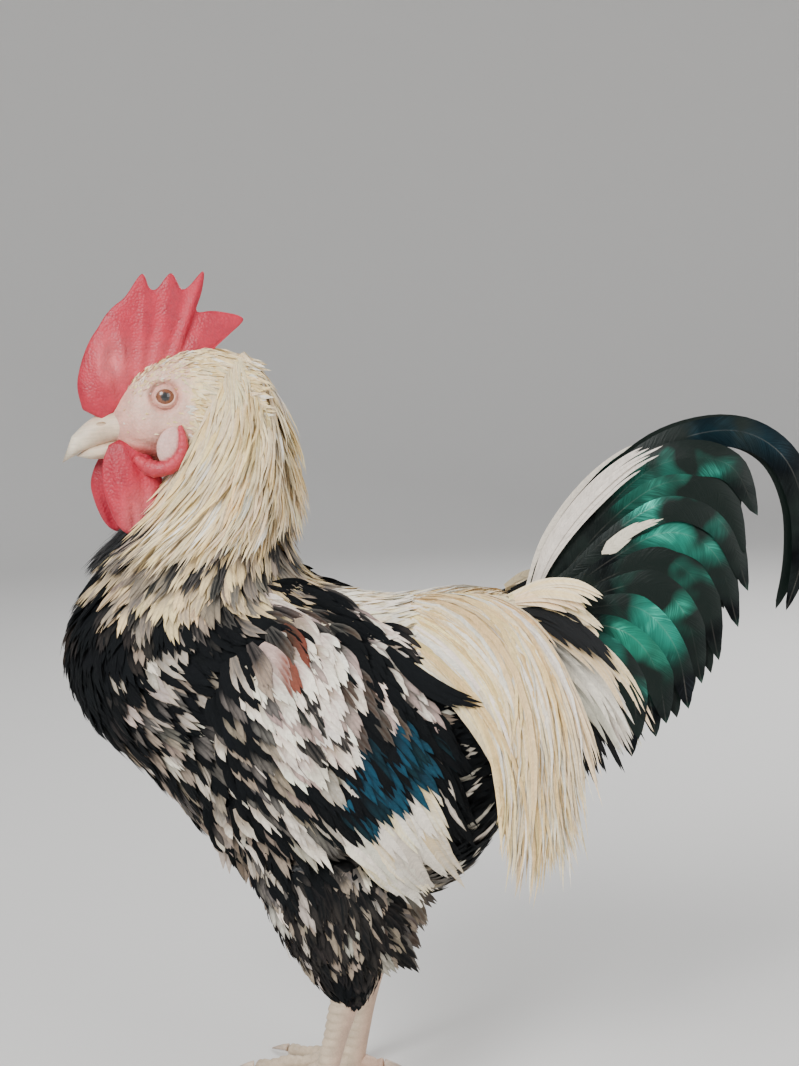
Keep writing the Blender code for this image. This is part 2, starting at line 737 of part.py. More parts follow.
def wing_feathers(side, skin, random):
    vanes = []
    for u, first, last, count, length, width, lifts, outline in WING_TIERS:
        laid = []
        for i in range(count):
            v = first + (last - first) * i / (count - 1)
            x, z = wing_place(u - abs(v) * 0.12, v)
            start = skin.rest(np.array([x, side * 0.05, z]), 0)[0]
            fan = math.radians(-4 + 0.12 * v)
            dx, dz = unit(WING_AXIS)
            way = (dx * math.cos(fan) - dz * math.sin(fan), 0, dx * math.sin(fan) + dz * math.cos(fan))
            long = length * random.uniform(0.95, 1.05)
            laid.append(draped(skin, start, lambda share: way, long, width, outline, lifts))
        vanes += lay(skin, laid)
    return vanes


# Saddle: the axis that its feathers hang round, the pad's reach along the back and down the side, its thickness
SADDLE_AXIS_Z = 150
PAD_X = (0, 10, 20, 30, 40, 49)
PAD_ANGLES = (4, 16, 28, 40, 52)
PAD_LEVELS = (-1.5, 2.0)
# Saddle feathers: angle of the roots from straight up, first and last x, count, length, width
SADDLE_TIERS = ((47, 2, 44, 5, 100, 8.2), (33, 5, 46, 5, 98, 8.2), (19, 3, 43, 5, 92, 8.0), (6, 8, 42, 4, 78, 8.6))


def saddle_pad(side, tree):
    """The skin over the side of the back in which the saddle feathers root."""
    rings = []
    for x in PAD_X:
        ring = []
        for level, angles in zip(PAD_LEVELS, (PAD_ANGLES, PAD_ANGLES[::-1])):
            for degrees in angles:
                angle = math.radians(degrees)
                way = Vector((0, side * math.sin(angle), math.cos(angle)))
                axis = Vector((x, 0, SADDLE_AXIS_Z)) * MM
                skin = tree.ray_cast(axis + way * 0.2, -way)[0]
                ring.append(np.array(skin + way * level * MM))
        rings.append(ring)
    return loft("saddle_core", rings)


def round_axis(place):
    """Away from the saddle's axis above its level, and straight to the side below it."""
    return (0, place[1], max(place[2] - SADDLE_AXIS_Z * MM, 0))


def saddle_feathers(side, skin, random):
    """Long pointed feathers that leave the back, bend over its side and hang down past the wing."""
    vanes = []
    for degrees, first, last, count, length, width in SADDLE_TIERS:
        laid = []
        for i in range(count):
            angle = math.radians(degrees)
            x = first + (last - first) * i / (count - 1)
            above = np.array([x, side * 80 * math.sin(angle), SADDLE_AXIS_Z + 80 * math.cos(angle)]) * MM
            start = skin.rest(above, 0)[0]
            back = 0.5 - 0.15 * i / count
            lie = lambda share: (back - 0.3 * share, side * (1.0 - share), -1.0)
            long = length * random.uniform(0.94, 1.06)
            laid.append(draped(skin, start, lie, long, width, LONG_POINTED, (1.2, 1.8)))
        vanes += lay(skin, laid)
    return vanes


# Tail root: rings of (x, z), half width, half height
TAIL_ROOT = ((46, 188, 12, 8), (53, 194, 17, 11), (60, 200, 18, 12), (66, 204, 13, 9))
# Tail feathers of one side: distance from the middle at root and tip, root (x, z), width, and the direction over
# the horizontal at even steps of its length, then the length, the outline
MAIN_TAIL = ((50, 80), (40, 84), (29, 84), (18, 80), (7, 76), (-5, 75))
TAIL_FEATHERS = (
    (1.2, 1.8, (51, 198), 15, (64, 58, 50, 38, 22, 4, -18, -46, -74, -98, -114), 190, SICKLE),
    (9.8, 17, (54, 197), 11, (60, 54, 44, 30, 12, -8, -30, -52, -72), 118, LESSER_SICKLE),
    (11.0, 19, (54, 196), 11, (50, 42, 30, 12, -8, -30, -50, -66), 104, LESSER_SICKLE),
    (12.2, 21, (55, 195), 11, (38, 30, 16, -2, -22, -42, -58), 92, LESSER_SICKLE),
    (13.4, 23, (55, 194), 11, (24, 14, 0, -18, -36, -52), 80, LESSER_SICKLE),
    (14.6, 24, (52, 198), 9, (8, -2, -14, -28, -42, -54), 66, LONG_POINTED),
    (15.6, 26, (53, 194), 9, (-6, -14, -26, -38, -48, -56), 60, LONG_POINTED),
    (16.4, 28, (53, 191), 9, (-20, -30, -40, -50, -58), 54, LONG_POINTED),
)


def tail_vane(side, inner, outer, root, width, directions, length, outline):
    """A tail feather that stands on edge and bends in its own plane."""
    count = 40
    x, z = root
    track = [np.array([x, side * inner, z])]
    for i in range(count):
        share = (i + 0.5) / count
        turn = math.radians(np.interp(share * (len(directions) - 1), range(len(directions)), directions))
        x += math.cos(turn) * length / count
        z += math.sin(turn) * length / count
        track.append(np.array([x, side * (inner + (outer - inner) * (i + 1) / count), z]))
    rings = [int(round(share * count)) for share, wide in outline]
    path = np.array([track[i] for i in rings] + [track[-1]]) * MM
    normal = unit((0, side, 0.05))
    return Vane(path, [normal] * len(rings), [wide * width * MM for share, wide in outline])


def tail_core():
    rings = []
    for x, z, half_wide, half_high in TAIL_ROOT:
        centre, across, up = points_mm(((x, 0, z), (0, half_wide, 0), (-0.5 * half_high, 0, 0.87 * half_high)))
        rings.append(oval(centre, across, up, 14))
    return loft("tail_core", rings)


def tail_feathers():
    vanes = []
    for side in SIDES.values():
        for i, (angle, length) in enumerate(MAIN_TAIL):
            inner, outer = 2.6 + 1.15 * i, 3.0 + 2.2 * i
            directions = (angle + 6, angle, angle - 6, angle - 14)
            vanes.append(tail_vane(side, inner, outer, (55, 201 - 1.5 * i), 17, directions, length, BLADE))
        vanes += [tail_vane(side, *feather) for feather in TAIL_FEATHERS]
    return vanes


class Feathered:
    """A node's core and its vanes, kept apart so that others can be cut clear of both."""

    def __init__(self, core, vanes=()):
        self.core = core
        self.vanes = list(vanes)

    def grow(self, skin, feathers, random):
        """Grows the vanes on a skin, tier by tier, and removes the solids that the skin was covered with."""
        own = len(skin.pieces)
        self.vanes = feathers(skin, random)
        for solid in skin.pieces[own:]:
            bpy.data.objects.remove(solid)

    def room(self):
        return [grown(self.core, GAP)] + [vane.solid(GAP) for vane in self.vanes]

    def fused(self):
        """The node's one solid; the core stays for the neighbours' cuts."""
        whole = grown(self.core, 0.0)
        join_or_cut(whole, "UNION", [vane.solid() for vane in self.vanes])
        return whole


def clear_of(obj, others):
    """Cuts from obj the room that each of the others needs."""
    for other in others:
        room = other.room() if isinstance(other, Feathered) else [grown(other, GAP)]
        for solid in room:
            join_or_cut(obj, "DIFFERENCE", [solid])
    return obj


def build():
    clear_scene()
    random = Random(SEED)
    cream = paint("cream_feather", (0.78, 0.7, 0.52), 0.8)
    black = paint("black_feather", (0.02, 0.03, 0.028), 0.45)
    white = paint("white_feather", (0.72, 0.69, 0.62), 0.8)
    red = paint("red_flesh", (0.55, 0.07, 0.08), 0.45)
    pink = paint("face_flesh", (0.75, 0.45, 0.38), 0.6)
    horn = paint("horn", (0.72, 0.63, 0.5), 0.4)
    scale = paint("leg_scale", (0.72, 0.62, 0.5), 0.5)
    iris = paint("iris", (0.25, 0.08, 0.02), 0.1)

    whole_body = body_loft()
    torso = finish(body_piece([plane_half(NECK_CUT, 1, GAP / 2)]), "torso", black)

    head = join_or_cut(head_loft(), "UNION", [eye_lid(s) for s in SIDES.values()])
    for cutter in [eye_ball(s, GAP) for s in SIDES.values()] + [plane_half(HEAD_CUT, -1, GAP / 2)]:
        join_or_cut(head, "DIFFERENCE", [cutter])
    finish(head, "head", pink)

    neck = Feathered(body_piece([plane_half(NECK_CUT, -1, GAP * 0.7), head_room(GAP * 0.7)]))
    neck.grow(Skin([whole_body]), hackle, random)
    finish(clear_of(neck.fused(), [torso, head]), "neck", cream)

    comb = finish(clear_of(comb_blade(), [head]), "comb", red)
    upper = clear_of(beak_half(UPPER_BEAK, UPPER_BEAK_TIP), [head, comb])
    join_or_cut(upper, "DIFFERENCE", [nostril(s) for s in SIDES.values()])
    finish(join_or_cut(upper, "DIFFERENCE", [mouth_cutter(False, GAP / MM / 2)]), "beak_upper", horn)
    lower = clear_of(beak_half(LOWER_BEAK, LOWER_BEAK_TIP), [head])
    finish(join_or_cut(lower, "DIFFERENCE", [mouth_cutter(True, GAP / MM / 2)]), "beak_lower", horn)
    for name, side in SIDES.items():
        finish(eye_ball(side), "eye_" + name, iris)
        finish(clear_of(wattle(side), [head, neck, upper, lower]), "wattle_" + name, red)
        finish(clear_of(ear_lobe(side), [head, neck]), "ear_lobe_" + name, red)

    coats = []
    for name, side in SIDES.items():
        leg = finish(clear_of(thigh(name), [torso]), "thigh_" + name, black)
        wing = Feathered(wing_core(side, tree_of(torso)))
        sideways = (0, side, 0)
        wing.grow(Skin([wing.core, torso, leg], lambda place: sideways, 0.35), partial(wing_feathers, side), random)
        wing_solid = finish(clear_of(wing.fused(), [torso, leg]), "wing_" + name, white)

        saddle = Feathered(saddle_pad(side, tree_of(torso)))
        skin = Skin([torso, wing_solid, leg, saddle.core], round_axis, 0.1)
        saddle.grow(skin, partial(saddle_feathers, side), random)
        finish(clear_of(saddle.fused(), [torso, leg, wing]), "saddle_" + name, cream)
        coats += [wing, saddle]

        shank_piece = finish(clear_of(shank(name), [leg]), "shank_" + name, scale)
        done = [shank_piece]
        for kind in TOES:
            done.append(finish(clear_of(toe(name, kind), done), f"toe_{name}_{kind}", scale))
            finish(claw(name, kind), f"claw_{name}_{kind}", horn)

    tail = Feathered(tail_core(), tail_feathers())
    finish(clear_of(tail.fused(), [torso, *coats]), "tail", black)
    for spare in [whole_body, neck.core, tail.core, *[coat.core for coat in coats]]:
        bpy.data.objects.remove(spare)
    gather()


def gather():
    """Moves every piece so that the middle of the bounding box's underside is the origin, into one collection."""
    parts = [obj for obj in bpy.data.objects if obj.type == "MESH"]
    places = np.array([v.co for obj in parts for v in obj.data.vertices])
    low, high = places.min(axis=0), places.max(axis=0)
    shift = Matrix.Translation((-(low[0] + high[0]) / 2, -(low[1] + high[1]) / 2, -low[2]))
    group = bpy.data.collections.new("bantam_chicken")
    bpy.context.scene.collection.children.link(group)
    for obj in parts:
        obj.data.transform(shift)
        for holder in list(obj.users_collection):
            holder.objects.unlink(obj)
        group.objects.link(obj)


build()
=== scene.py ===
import math

import bmesh
import bpy
import numpy as np
from mathutils import Matrix, Vector
from mathutils.bvhtree import BVHTree


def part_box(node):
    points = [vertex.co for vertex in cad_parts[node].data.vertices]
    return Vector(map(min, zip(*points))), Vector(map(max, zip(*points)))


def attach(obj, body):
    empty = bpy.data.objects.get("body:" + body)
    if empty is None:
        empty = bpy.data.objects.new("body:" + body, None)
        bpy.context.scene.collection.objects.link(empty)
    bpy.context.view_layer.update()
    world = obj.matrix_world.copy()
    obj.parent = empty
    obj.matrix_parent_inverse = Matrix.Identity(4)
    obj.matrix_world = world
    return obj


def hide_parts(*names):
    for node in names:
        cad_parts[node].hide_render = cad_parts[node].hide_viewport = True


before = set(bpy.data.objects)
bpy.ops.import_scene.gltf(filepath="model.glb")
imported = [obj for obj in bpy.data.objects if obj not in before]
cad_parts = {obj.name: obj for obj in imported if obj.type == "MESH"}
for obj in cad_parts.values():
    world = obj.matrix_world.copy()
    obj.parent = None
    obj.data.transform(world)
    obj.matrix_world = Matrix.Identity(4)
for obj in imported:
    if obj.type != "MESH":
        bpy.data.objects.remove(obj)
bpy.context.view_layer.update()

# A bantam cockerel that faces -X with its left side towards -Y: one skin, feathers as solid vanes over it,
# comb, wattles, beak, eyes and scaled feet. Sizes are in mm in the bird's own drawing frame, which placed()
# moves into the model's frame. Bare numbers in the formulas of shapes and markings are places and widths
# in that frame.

MM = 0.001
SIDES = {"left": -1.0, "right": 1.0}
draw = np.random.default_rng(21)

# The head turns about this point; the eye's place gives the drawing frame's shift
HEAD_TURN = math.radians(12)
HEAD_PIVOT = (-66.0, 0.0)
EYE_CENTRE = (-89.5, 10.6, 285.0)
EYE_RADIUS = 4.4


def turned(points):
    """Head points, drawn facing straight ahead, turned with the head."""
    points = np.array(points, float)
    x, y = points[..., 0] - HEAD_PIVOT[0], points[..., 1] - HEAD_PIVOT[1]
    points[..., 0] = HEAD_PIVOT[0] + x * math.cos(HEAD_TURN) - y * math.sin(HEAD_TURN)
    points[..., 1] = HEAD_PIVOT[1] + x * math.sin(HEAD_TURN) + y * math.cos(HEAD_TURN)
    return points


def straightened(points):
    """The reverse of turned."""
    points = np.array(points, float)
    x, y = points[..., 0] - HEAD_PIVOT[0], points[..., 1] - HEAD_PIVOT[1]
    points[..., 0] = HEAD_PIVOT[0] + x * math.cos(HEAD_TURN) + y * math.sin(HEAD_TURN)
    points[..., 1] = HEAD_PIVOT[1] - x * math.sin(HEAD_TURN) + y * math.cos(HEAD_TURN)
    return points


eye_low, eye_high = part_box("eye_left")
SHIFT = (np.array(eye_low) + np.array(eye_high)) / 2
SHIFT = SHIFT - turned((EYE_CENTRE[0], -EYE_CENTRE[1], EYE_CENTRE[2])) * MM


def placed(points):
    """Points of the drawing frame in mm as points of the model's frame in metres."""
    return np.asarray(points, float) * MM + SHIFT


def unit(vectors):
    vectors = np.asarray(vectors, float)
    return vectors / np.maximum(np.linalg.norm(vectors, axis=-1, keepdims=True), 1e-9)


def smooth(low, high, value):
    share = np.clip((np.asarray(value, float) - low) / (high - low), 0, 1)
    return share * share * (3 - 2 * share)


def curve(rows, places):
    """Catmull-Rom curve through the rows of numbers, read at places counted in rows."""
    rows = np.asarray(rows, float)
    padded = np.vstack([2 * rows[0] - rows[1], rows, 2 * rows[-1] - rows[-2]])
    places = np.clip(np.asarray(places, float), 0, len(rows) - 1)
    i = np.minimum(places.astype(int), len(rows) - 2)
    t = (places - i)[..., None]
    a, b, c, d = padded[i], padded[i + 1], padded[i + 2], padded[i + 3]
    return 0.5 * (2 * b + (c - a) * t + (2 * a - 5 * b + 4 * c - d) * t**2 + (3 * b - a - 3 * c + d) * t**3)


def sampled(rows, count):
    """count places along the curve through the rows, evenly spaced in rows."""
    return curve(rows, np.linspace(0, len(rows) - 1, count))


def mixed(first, second, share):
    """first where share is 0 and second where it is 1."""
    return np.asarray(first) * (1 - share) + np.asarray(second) * share


def bell(value, middle, width):
    return np.exp(-(((value - middle) / width) ** 2))


# Colours
CREAM = (0.96, 0.74, 0.38)
STRAW = (0.78, 0.54, 0.23)
WHITE = (0.93, 0.86, 0.72)
BEIGE = (0.38, 0.30, 0.22)
SILVER = (0.56, 0.50, 0.43)
GREY = (0.15, 0.135, 0.12)
BROWN = (0.070, 0.045, 0.032)
SOOT = (0.034, 0.029, 0.026)
RUST = (0.21, 0.062, 0.042)
PINKGREY = (0.52, 0.37, 0.33)
BLACK = (0.005, 0.006, 0.007)
# Blue-green and green of black feathers: their sheen, painted into the colour
SHEEN_BLUE_GREEN = (0.015, 0.064, 0.105)
DEEP_SHEEN_BLUE_GREEN = (0.007, 0.028, 0.038)
SHEEN_GREEN = (0.03, 0.30, 0.21)
SKIN_PINK = (0.70, 0.30, 0.24)
SKIN_PALE = (0.82, 0.55, 0.42)
SKIN_RED = (0.46, 0.045, 0.05)
COMB_RED = (0.50, 0.018, 0.044)
COMB_PINK = (0.72, 0.16, 0.17)
COMB_DEEP = (0.36, 0.012, 0.030)
LOBE_PALE = (0.74, 0.46, 0.40)
HORN = (0.72, 0.55, 0.39)
HORN_TIP = (0.80, 0.70, 0.54)
# Horn colour of the painted shade on the beak
HORN_SHADE = (0.36, 0.22, 0.15)
CLAW_ROOT = (0.66, 0.52, 0.40)
CLAW_TIP = (0.42, 0.33, 0.27)
SCALE_PALE = (0.58, 0.46, 0.33)
SCALE_BLUSH = (0.55, 0.30, 0.22)
IRIS_BROWN = (0.22, 0.062, 0.016)
QUILL = (0.8, 0.75, 0.65)
UNDER_SHEEN = (0.004, 0.009, 0.007)
FLOOR_GREY = (0.68, 0.67, 0.65)
STUDIO_WHITE = (0.9, 0.93, 1.0)

# Each kind of feather: its share in the mix, colour at the root, at the tip, and along the edges
MIXES = {
    "cream": ((0.62, CREAM, CREAM, WHITE), (0.3, STRAW, CREAM, CREAM), (0.08, WHITE, WHITE, WHITE)),
    "white": ((0.5, WHITE, WHITE, WHITE), (0.4, CREAM, WHITE, CREAM), (0.1, BEIGE, WHITE, WHITE)),
    "black": ((0.85, BLACK, BLACK, BLACK), (0.15, BLACK, SOOT, BLACK)),
    "rim": ((0.5, BLACK, BROWN, BLACK), (0.5, BLACK, BLACK, BROWN)),
    "mottled": (
        (0.40, BLACK, BLACK, BLACK), (0.16, BLACK, GREY, BLACK), (0.16, BLACK, BEIGE, GREY),
        (0.18, GREY, SILVER, BEIGE), (0.10, BEIGE, WHITE, SILVER),
    ),
    "collar": (
        (0.14, BLACK, BLACK, GREY), (0.14, BLACK, GREY, BEIGE), (0.22, GREY, BEIGE, GREY),
        (0.25, BEIGE, BEIGE, CREAM), (0.25, BEIGE, CREAM, BEIGE),
    ),
    "bow": (
        (0.16, BLACK, BLACK, GREY), (0.14, GREY, PINKGREY, GREY), (0.2, BEIGE, WHITE, PINKGREY),
        (0.5, PINKGREY, WHITE, WHITE),
    ),
    "shade": (
        (0.4, BLACK, BLACK, BLACK), (0.25, BLACK, BROWN, GREY), (0.2, GREY, PINKGREY, GREY),
        (0.15, GREY, WHITE, PINKGREY),
    ),
    "saddle": (
        (0.14, STRAW, STRAW, CREAM), (0.26, STRAW, CREAM, CREAM), (0.48, CREAM, CREAM, WHITE),
        (0.12, WHITE, WHITE, WHITE),
    ),
    "rust": ((0.4, BROWN, RUST, RUST), (0.6, PINKGREY, RUST, PINKGREY)),
    # The bar's blue-green is painted sheen on black feathers
    "bar": ((0.3, BLACK, BLACK, BLACK), (0.26, BLACK, DEEP_SHEEN_BLUE_GREEN, BLACK), (0.44, BLACK, SHEEN_BLUE_GREEN, DEEP_SHEEN_BLUE_GREEN)),
    "bay": ((0.35, CREAM, WHITE, CREAM), (0.65, WHITE, WHITE, WHITE)),
    "strip": ((0.86, BLACK, BLACK, BLACK), (0.14, BLACK, WHITE, BLACK)),
    "down": ((0.3, BLACK, GREY, GREY), (0.4, GREY, BROWN, GREY), (0.3, GREY, BEIGE, GREY)),
    "thigh": (
        (0.4, BLACK, BLACK, SOOT), (0.3, BLACK, SOOT, BLACK), (0.18, SOOT, BEIGE, GREY),
        (0.12, GREY, SILVER, GREY),
    ),
    # The green and blue-green of the tail mixes are painted sheen on black feathers
    "tail": ((0.7, BLACK, SHEEN_GREEN, BLACK), (0.3, BLACK, SHEEN_BLUE_GREEN, SHEEN_GREEN)),
    "plain tail": ((1.0, BLACK, BLACK, BLACK),),
    "sickle": ((1.0, BLACK, DEEP_SHEEN_BLUE_GREEN, BLACK),),
    "covert": ((0.4, CREAM, BLACK, CREAM), (0.6, BLACK, WHITE, WHITE)),
    "cuff": ((0.7, BLACK, BLACK, BLACK), (0.3, BLACK, SOOT, BLACK)),
}
# Waves whose sum is the patchiness of the markings
WAVE_COUNT = 9
WAVE_SIZES = np.linspace(0.7, 1.6, WAVE_COUNT)[:, None]
WAVES = draw.uniform(-1, 1, (WAVE_COUNT, 3))
WAVE_STARTS = draw.uniform(0, math.tau, WAVE_COUNT)


def blotches(places, size):
    """A smooth random value at each place, whose patches are about size across."""
    turns = unit(WAVES) * math.tau / size * WAVE_SIZES
    return np.sin(places @ turns.T + WAVE_STARTS).sum(axis=1) / 2.2


def chosen(names, places, size=13.0, rough=0.5):
    """Root, tip and edge colour of each feather, from the mix that names, or the one name, gives it.

    The rows of a mix go from dark to pale, and neighbours get like rows, in patches of about the size given.
    """
    count = len(places)
    names = np.broadcast_to(names, count)
    out = np.zeros((3, count, 3))
    field = blotches(places, size) + draw.normal(0, rough, count)
    for name in sorted(set(names)):
        mix = MIXES[name]
        mine = np.flatnonzero(names == name)
        rank = np.empty(len(mine))
        rank[np.argsort(field[mine])] = (np.arange(len(mine)) + 0.5) / len(mine)
        edges = np.cumsum([row[0] for row in mix])
        pick = np.searchsorted(edges / edges[-1], rank)
        for k in range(3):
            out[k, mine] = np.array([row[k + 1] for row in mix])[pick]
    tone = draw.uniform(0.8, 1.1, (1, count, 1)) * (1 + draw.normal(0, 0.02, (1, count, 3)))
    return out * tone


def zoned(zones, x, z, rough=0.5):
    """The name of the mix at each place, from ovals with rough borders."""
    scores = []
    for _, middle_x, middle_z, half_x, half_z in zones:
        score = -(((x - middle_x) / half_x) ** 2) - ((z - middle_z) / half_z) ** 2
        scores.append(score + draw.normal(0, rough, len(x)))
    names = np.array([zone[0] for zone in zones])
    return names[np.argmax(scores, axis=0)]


# Meshes


def linked(name, data):
    """A new object of the scene."""
    obj = bpy.data.objects.new(name, data)
    bpy.context.scene.collection.objects.link(obj)
    return obj


def quads(rows, size):
    """The faces between rows of rings that have size points each."""
    faces = []
    for row in range(rows - 1):
        for i in range(size):
            j = (i + 1) % size
            faces.append((row * size + i, row * size + j, (row + 1) * size + j, (row + 1) * size + i))
    return faces


def mesh_from(name, points, faces):
    """An object with a mesh made of points in the drawing frame."""
    mesh = bpy.data.meshes.new(name)
    mesh.from_pydata(placed(points).tolist(), [], [list(face) for face in faces])
    made = bmesh.new()
    made.from_mesh(mesh)
    bmesh.ops.recalc_face_normals(made, faces=made.faces)
    made.to_mesh(mesh)
    made.free()
    mesh.shade_smooth()
    return linked(name, mesh)


def loft(name, rings, first=None, last=None):
    """A closed skin over rings of equal length, closed at each end by a point, or its middle."""
    rings = [np.asarray(ring, float) for ring in rings]
    size = len(rings[0])
    first = rings[0].mean(axis=0) if first is None else first
    last = rings[-1].mean(axis=0) if last is None else last
    points = np.vstack([*rings, first, last])
    faces = quads(len(rings), size)
    top = (len(rings) - 1) * size
    for i in range(size):
        j = (i + 1) % size
        faces.append((j, i, len(points) - 2))
        faces.append((top + i, top + j, len(points) - 1))
    return mesh_from(name, points, faces)


def head_loft(name, rings, *ends):
    """A loft drawn on the straight head and turned with it."""
    return loft(name, [turned(ring) for ring in rings], *[turned(end) for end in ends])


def evaluated(obj):
    """Gives an object the mesh that its modifiers make."""
    graph = bpy.context.evaluated_depsgraph_get()
    result = bpy.data.meshes.new_from_object(obj.evaluated_get(graph))
    obj.modifiers.clear()
    obj.data = result


def joined(target, others, operation="UNION"):
    """One Boolean of target with the others, applied."""
    group = bpy.data.collections.new("others")
    for other in others:
        group.objects.link(other)
    modifier = target.modifiers.new("join", "BOOLEAN")
    modifier.operation = operation
    modifier.operand_type = "COLLECTION"
    modifier.collection = group
    modifier.solver = "MANIFOLD"
    evaluated(target)
    for other in others:
        bpy.data.objects.remove(other, do_unlink=True)
    bpy.data.collections.remove(group)
    return target


def coordinates(obj):
    """The object's points in the drawing frame, in mm."""
    places = np.empty(len(obj.data.vertices) * 3)
    obj.data.vertices.foreach_get("co", places)
    return (places.reshape(-1, 3) - SHIFT) / MM


def tint(obj, colours, extra=None):
    """Writes a colour to each point."""
    layer = obj.data.color_attributes.new("tint", "FLOAT_COLOR", "POINT")
    alpha = np.ones(len(colours)) if extra is None else extra
    layer.data.foreach_set("color", np.column_stack([colours, alpha]).astype(np.float32).ravel())


def piece(obj, slot, material, *nodes):
    """Finishes a piece: sets what it rides on and its material, and hides the nodes that it stands for. slot
    is not used.
    """
    obj.data.materials.clear()
    obj.data.materials.append(material)
    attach(obj, "root")
    if nodes:
        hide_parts(*nodes)
    return obj


# Materials


class Paint:
    """A material's node tree, built socket by socket."""

    def __init__(self, name, **fixed):
        self.material = bpy.data.materials.new(name)
        self.material.use_nodes = True
        self.tree = self.material.node_tree
        self.shader = self.tree.nodes["Principled BSDF"]
        self.put(self.shader, {key.replace("_", " "): value for key, value in fixed.items()})

    def put(self, node, inputs):
        for key, value in inputs.items():
            socket = node.inputs[key]
            if isinstance(value, bpy.types.NodeSocket):
                self.tree.links.new(value, socket)
            elif isinstance(value, tuple) and len(value) == 3 and socket.type == "RGBA":
                socket.default_value = (*value, 1)
            else:
                socket.default_value = value
        return node

    def node(self, kind, inputs=None, **settings):
        node = self.tree.nodes.new(kind)
        for key, value in settings.items():
            setattr(node, key, value)
        return self.put(node, inputs or {})

    def math(self, operation, *values):
        return self.node("ShaderNodeMath", dict(enumerate(values)), operation=operation).outputs[0]

    def times(self, first, second):
        return self.math("MULTIPLY", first, second)

    def scaled(self, colour, tone):
        return self.node("ShaderNodeVectorMath", {0: colour, "Scale": tone}, operation="SCALE").outputs[0]

    def own(self):
        """The colour and the number that each point carries."""
        return self.node("ShaderNodeAttribute", attribute_name="tint").outputs

    def vector(self, *values):
        return self.node("ShaderNodeCombineXYZ", dict(enumerate(values))).outputs[0]

    def span(self, value, low, high, to_low=0.0, to_high=1.0):
        inputs = {"Value": value, "From Min": low, "From Max": high, "To Min": to_low, "To Max": to_high}
        return self.node("ShaderNodeMapRange", inputs).outputs[0]

    def mix(self, share, first, second):
        node = self.node("ShaderNodeMix", {}, data_type="RGBA", blend_type="MIX")
        self.put(node, {0: share, 6: first, 7: second})
        return node.outputs[2]

    def place(self):
        return self.node("ShaderNodeTexCoord").outputs["Object"]

    def noise(self, vector, scale, detail=3.0, rough=0.5):
        inputs = {"Vector": vector, "Scale": scale, "Detail": detail, "Roughness": rough}
        return self.node("ShaderNodeTexNoise", inputs).outputs["Fac"]

    def bump(self, height, strength, distance):
        inputs = {"Height": height, "Strength": strength, "Distance": distance}
        self.put(self.shader, {"Normal": self.node("ShaderNodeBump", inputs).outputs["Normal"]})


# Barbs of a vane: slant, share of the width that counts, size of the fine and the broad streaks
BARB_SLANT = 1.3
BARB_SPREAD = 0.12
BARB_SCALE = 9.0
STREAK_SCALE = 2.2
# Painted sheen of a dark vane: its patches along and across the vane, and those of the painted highlight on
# them
SHEEN_ALONG = 0.42
SHEEN_ACROSS = 0.3
HIGHLIGHT_SCALE = 85.0


def feather_paint(name, shaft_share, shine=0.0, **fixed):
    """Barbs that leave the shaft at a slant, over the colour that each vane carries."""
    paint = Paint(name, **fixed)
    own = paint.own()
    vane = paint.node("ShaderNodeUVMap", uv_map="Vane").outputs["UV"]
    split = paint.node("ShaderNodeSeparateXYZ", {0: vane})
    along, across = split.outputs[0], split.outputs[1]
    aside = paint.math("ABSOLUTE", across)
    barb = paint.math("SUBTRACT", along, paint.times(aside, BARB_SLANT))
    streak = paint.vector(barb, paint.times(across, BARB_SPREAD), own["Alpha"])
    fine = paint.noise(streak, BARB_SCALE, 3.0, 0.65)
    broad = paint.noise(streak, STREAK_SCALE, 2.0)
    tone = paint.times(paint.span(fine, 0.3, 0.7, 0.78, 1.12), paint.span(broad, 0.3, 0.7, 0.88, 1.06))
    shaft = paint.span(aside, 0.012, 0.03, shaft_share, 0.0)
    toned = paint.scaled(own["Color"], tone)
    colour = paint.mix(shaft, toned, paint.mix(0.35, toned, QUILL))
    if shine:
        # Painted sheen: metallic patches over a near-black base, brightened along the barbs by a painted
        # highlight
        patch = paint.vector(paint.times(along, SHEEN_ALONG), paint.times(across, SHEEN_ACROSS), own["Alpha"])
        sheen_place = paint.span(paint.noise(patch, 1.0, 2.0), 0.46, 0.62)
        light = paint.span(paint.noise(paint.place(), HIGHLIGHT_SCALE, 1.0), 0.5, 0.68)
        highlight_tone = paint.times(light, paint.span(fine, 0.35, 0.65))
        highlight_tone = paint.math("ADD", paint.times(highlight_tone, 2.0), 1.0)
        colour = paint.mix(sheen_place, UNDER_SHEEN, paint.scaled(colour, highlight_tone))
        paint.put(paint.shader, {"Metallic": paint.times(sheen_place, shine)})
    paint.put(paint.shader, {"Base Color": colour})
    paint.bump(fine, 0.35, 0.0004)
    return paint.material


PALE_VANE = feather_paint("pale_vane", 0.0, Roughness=0.75, Specular_IOR_Level=0.25, Sheen_Weight=0.2)
BODY_VANE = feather_paint("body_vane", 0.0, Roughness=0.85, Specular_IOR_Level=0.12)
DARK_VANE = feather_paint("dark_vane", 0.12, shine=0.8, Roughness=0.38, Specular_IOR_Level=0.2)


SKIN_CLOUDS = 160.0
HORN_CLOUDS = 220.0
# Growth lines of horn: the slant of the lines and how closely they lie along x, y and z
HORN_SLANT = (0.0, 0.45, 0.0)
HORN_LINES = (120.0, 500.0, 1500.0)


